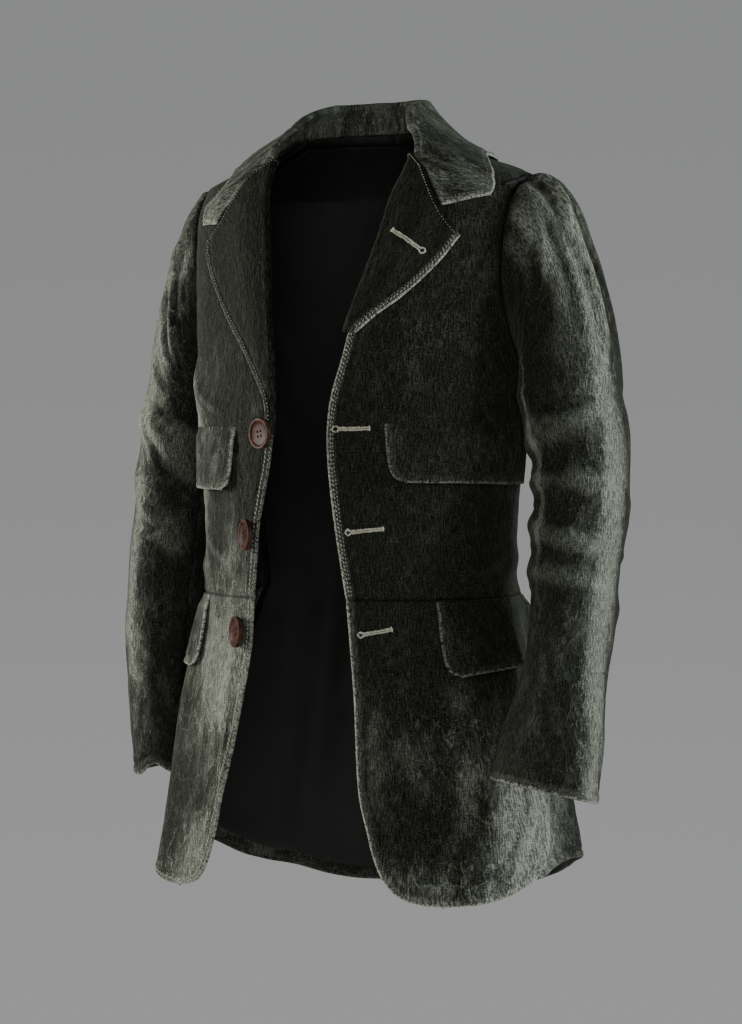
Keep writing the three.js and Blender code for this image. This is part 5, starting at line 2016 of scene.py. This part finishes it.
        source = np.random.default_rng(int(abs(start[1])))
        turns = np.radians(np.linspace(*self.eye_turns))
        side_places = np.arange(self.eye_end, length, self.worked_pitch)
        outline = [(x, self.slit) for x in side_places[::-1]]
        outline += [(self.eye_middle + self.eye * math.cos(t), self.eye * math.sin(t)) for t in turns]
        outline += [(x, -self.slit) for x in side_places]
        outline += [(length, y) for y in np.linspace(-self.bar, self.bar, 6)]
        worked = []
        for index, (x, y) in enumerate(outline):
            before, after = outline[index - 1], outline[(index + 1) % len(outline)]
            way = unit(np.array([after[0] - before[0], after[1] - before[1]]))
            place, up = spot(x, y)
            out = unit(spot(x - way[1], y + way[0])[0] - place)
            side = np.cross(up, out)
            drawn = source.uniform(0.75, 1.25)
            lifted = place + up * self.lift + out * source.uniform(-0.2, 0.25)
            worked.append(np.vstack([out * drawn, side * 0.5, up * 0.7 * drawn, lifted]))
        # Painted shadow: flat black bars of the lining finish along the slit, where a real hole would show
        # the dark inside.
        slit = []
        for x in np.arange(self.dark_start, length - 0.5, self.dark_pitch):
            place, up = spot(x, 0.0)
            out = unit(spot(x + 1.0, 0.0)[0] - place)
            wide = self.dark_width * (2 if x < self.dark_eye else 1)
            side = np.cross(up, out) * wide
            slit.append(np.vstack([out * self.dark_pitch, side, up * 0.25, place + up * 0.12]))
        return worked, slit

    def frames(self, cloth: Cloth, line: Array, row: Row) -> list[Array]:
        """Where each stitch of a row lies.

        Args:
            cloth: The piece that is sewn.
            line: A border of it.
            row: The stitches' distance from the border, slant and size.

        Returns:
            Three rows of directions and one of the middle for each stitch.
        """
        steps = np.linalg.norm(np.diff(line, axis=0), axis=1)
        length = np.concatenate([[0.0], np.cumsum(steps)])
        pitch = row.long + row.gap
        stops = np.arange(pitch, length[-1] - pitch, pitch)
        source = np.random.default_rng(int(row.distance * 10) + len(line))
        stops = stops + source.uniform(-self.wander, self.wander, len(stops))
        spots = np.stack([np.interp(stops, length, line[:, k]) for k in range(3)], 1)
        ahead = np.stack([np.interp(stops + 1, length, line[:, k]) for k in range(3)], 1)
        tangent = unit(ahead - spots)
        surface, normals = cloth.listed()
        border = np.minimum(cloth.edge, cloth.seam).reshape(-1)
        tree = self.grown(surface, np.flatnonzero(border < row.distance + self.reach))
        found = []
        for spot, way in zip(spots, tangent):
            home = tree.find(spot)[1]
            up = normals[home]
            inward = np.cross(up, way)
            probe = spot + inward * 3
            if self.away(tree, probe) > self.away(tree, spot - inward * 3):
                inward = -inward
            target = spot + inward * row.distance
            near = tree.find(target)[1]
            up = normals[near]
            target = target - up * float(np.dot(target - surface[near], up)) + up * self.lift
            if self.away(tree, target) > self.stray:
                continue
            way = unit(way - up * float(np.dot(way, up)))
            beside = np.cross(up, way)
            lean = math.radians(row.slant + source.uniform(-self.tilt, self.tilt))
            along = way * math.cos(lean) + beside * math.sin(lean)
            across = np.cross(up, along)
            thick = row.thick * source.uniform(0.8, 1.25)
            found.append(np.vstack([along * row.long / 2, across * thick, up * thick, target]))
        return found

    @staticmethod
    def away(tree: KDTree, place: Array) -> float:
        """Distance from a place to the nearest one of the cloth."""
        return float(tree.find(place)[2])


# ---------------------------------------------------------------- stage
@dataclass
class Stage:
    """Floor, lights and camera."""

    floor_level: float = -1.25
    floor_radius: float = 1.75
    camera_place: tuple[float, float, float] = (1.1737, -2.2074, -0.290)
    camera_aim: tuple[float, float, float] = (0.0082, 0.0044, -0.3523)
    lens: float = 94.5
    sensor: float = 36
    lamp_aim: tuple[float, float, float] = (0, 0, -0.33)
    lamps: tuple[tuple[Any, ...], ...] = (
        # name, place, watts, width and colour
        ("key", (-2.6, -0.75, 0.1), 126, 0.9, "#fffcf8"),
        ("front", (1.0, -2.5, 0.1), 38, 1.6, "#ffffff"),
        ("left_rim", (2.3, 0.75, 0.2), 87, 0.9, "#f8faff"),
    )
    room: float = 0.36

    def build(self) -> None:
        """Makes everything that isn't the jacket."""
        self.floor()
        self.camera()
        for lamp in self.lamps:
            self.light(*lamp)
        self.world()

    def floor(self) -> None:
        """A pale round floor well below the jacket."""
        floor = shape(bpy.ops.mesh.primitive_circle_add, vertices=96, radius=self.floor_radius,
                      fill_type="NGON", location=(0, 0, self.floor_level))
        floor.name = "floor"
        floor.data.transform(floor.matrix_world)
        floor.matrix_world = Matrix.Identity(4)
        made, tree = blank("pale_floor")
        shader = node(tree, "ShaderNodeBsdfPrincipled", None, Base_Color=linear("#c9c9c7"), Roughness=0.8)
        node(tree, "ShaderNodeOutputMaterial", None, Surface=shader.outputs[0])
        floor.data.materials.append(made)

    def camera(self) -> None:
        """The camera, at the height of the chest and toward the wearer's left."""
        data = bpy.data.cameras.new("camera")
        data.lens = self.lens
        data.sensor_width = self.sensor
        camera = placed("camera", data)
        self.aim(camera, self.camera_place, self.camera_aim)
        bpy.context.scene.camera = camera

    @staticmethod
    def aim(piece: Piece, place: Sequence[float], target: Sequence[float]) -> None:
        """Puts a camera or lamp at a place and turns it to a target."""
        piece.location = place
        toward = Vector(target) - Vector(place)
        piece.rotation_euler = toward.to_track_quat("-Z", "Y").to_euler()

    def light(self, name: str, place: tuple[float, float, float], power: float, size: float,
              colour: str) -> None:
        """Adds a soft square lamp aimed at the chest."""
        data = bpy.data.lights.new(name, "AREA")
        data.energy = power
        data.size = size
        data.color = linear(colour)[:3]
        self.aim(placed(name, data), place, self.lamp_aim)

    def world(self) -> None:
        """A plain grey backdrop, a little lighter toward the floor, in a dim room."""
        world = bpy.data.worlds.new("grey_room")
        world.use_nodes = True
        tree = world.node_tree
        tree.nodes.clear()
        way = node(tree, "ShaderNodeTexCoord").outputs["Generated"]
        height = node(tree, "ShaderNodeSeparateXYZ", None, Vector=way).outputs[2]
        ramp = node(tree, "ShaderNodeMapRange", {"interpolation_type": "SMOOTHSTEP"},
                    in0=height, in1=-0.22, in2=0.17, in3=0.0, in4=1.0)
        shades = node(tree, "ShaderNodeValToRGB", None, Fac=ramp.outputs[0])
        stops = shades.color_ramp.elements
        stops[0].position, stops[0].color = 0.0, linear("#9d9d9e")
        stops[1].position, stops[1].color = 1.0, linear("#8b8d8c")
        stops.new(0.45).color = linear("#939393")
        seen = node(tree, "ShaderNodeBackground", None, Color=shades.outputs[0], Strength=1.0)
        felt = node(tree, "ShaderNodeBackground", None, Color=linear("#8f908f"), Strength=self.room)
        camera = node(tree, "ShaderNodeLightPath").outputs["Is Camera Ray"]
        mix = node(tree, "ShaderNodeMixShader", None, in0=camera)
        tree.links.new(felt.outputs[0], mix.inputs[1])
        tree.links.new(seen.outputs[0], mix.inputs[2])
        node(tree, "ShaderNodeOutputWorld", None, Surface=mix.outputs[0])
        bpy.context.scene.world = world


def main() -> None:
    """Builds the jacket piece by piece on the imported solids."""
    logging.basicConfig(level=logging.INFO, format="%(message)s")
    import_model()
    bpy.ops.object.select_all(action="DESELECT")
    finishes = Finishes()
    form = BodyForm()
    panels = Panels(form, finishes)
    cloths = panels.build()
    cloths += Flaps(form, finishes).build()
    cloths += Lapels(form, finishes, panels.roll_line).build()
    cloths += Collar(form, finishes).build()
    cloths += Sleeves(form, finishes).build()
    Buttons(form, finishes).build()
    Sewing(form, finishes).build(cloths)
    Stage().build()


if __name__ == "__main__":
    main()
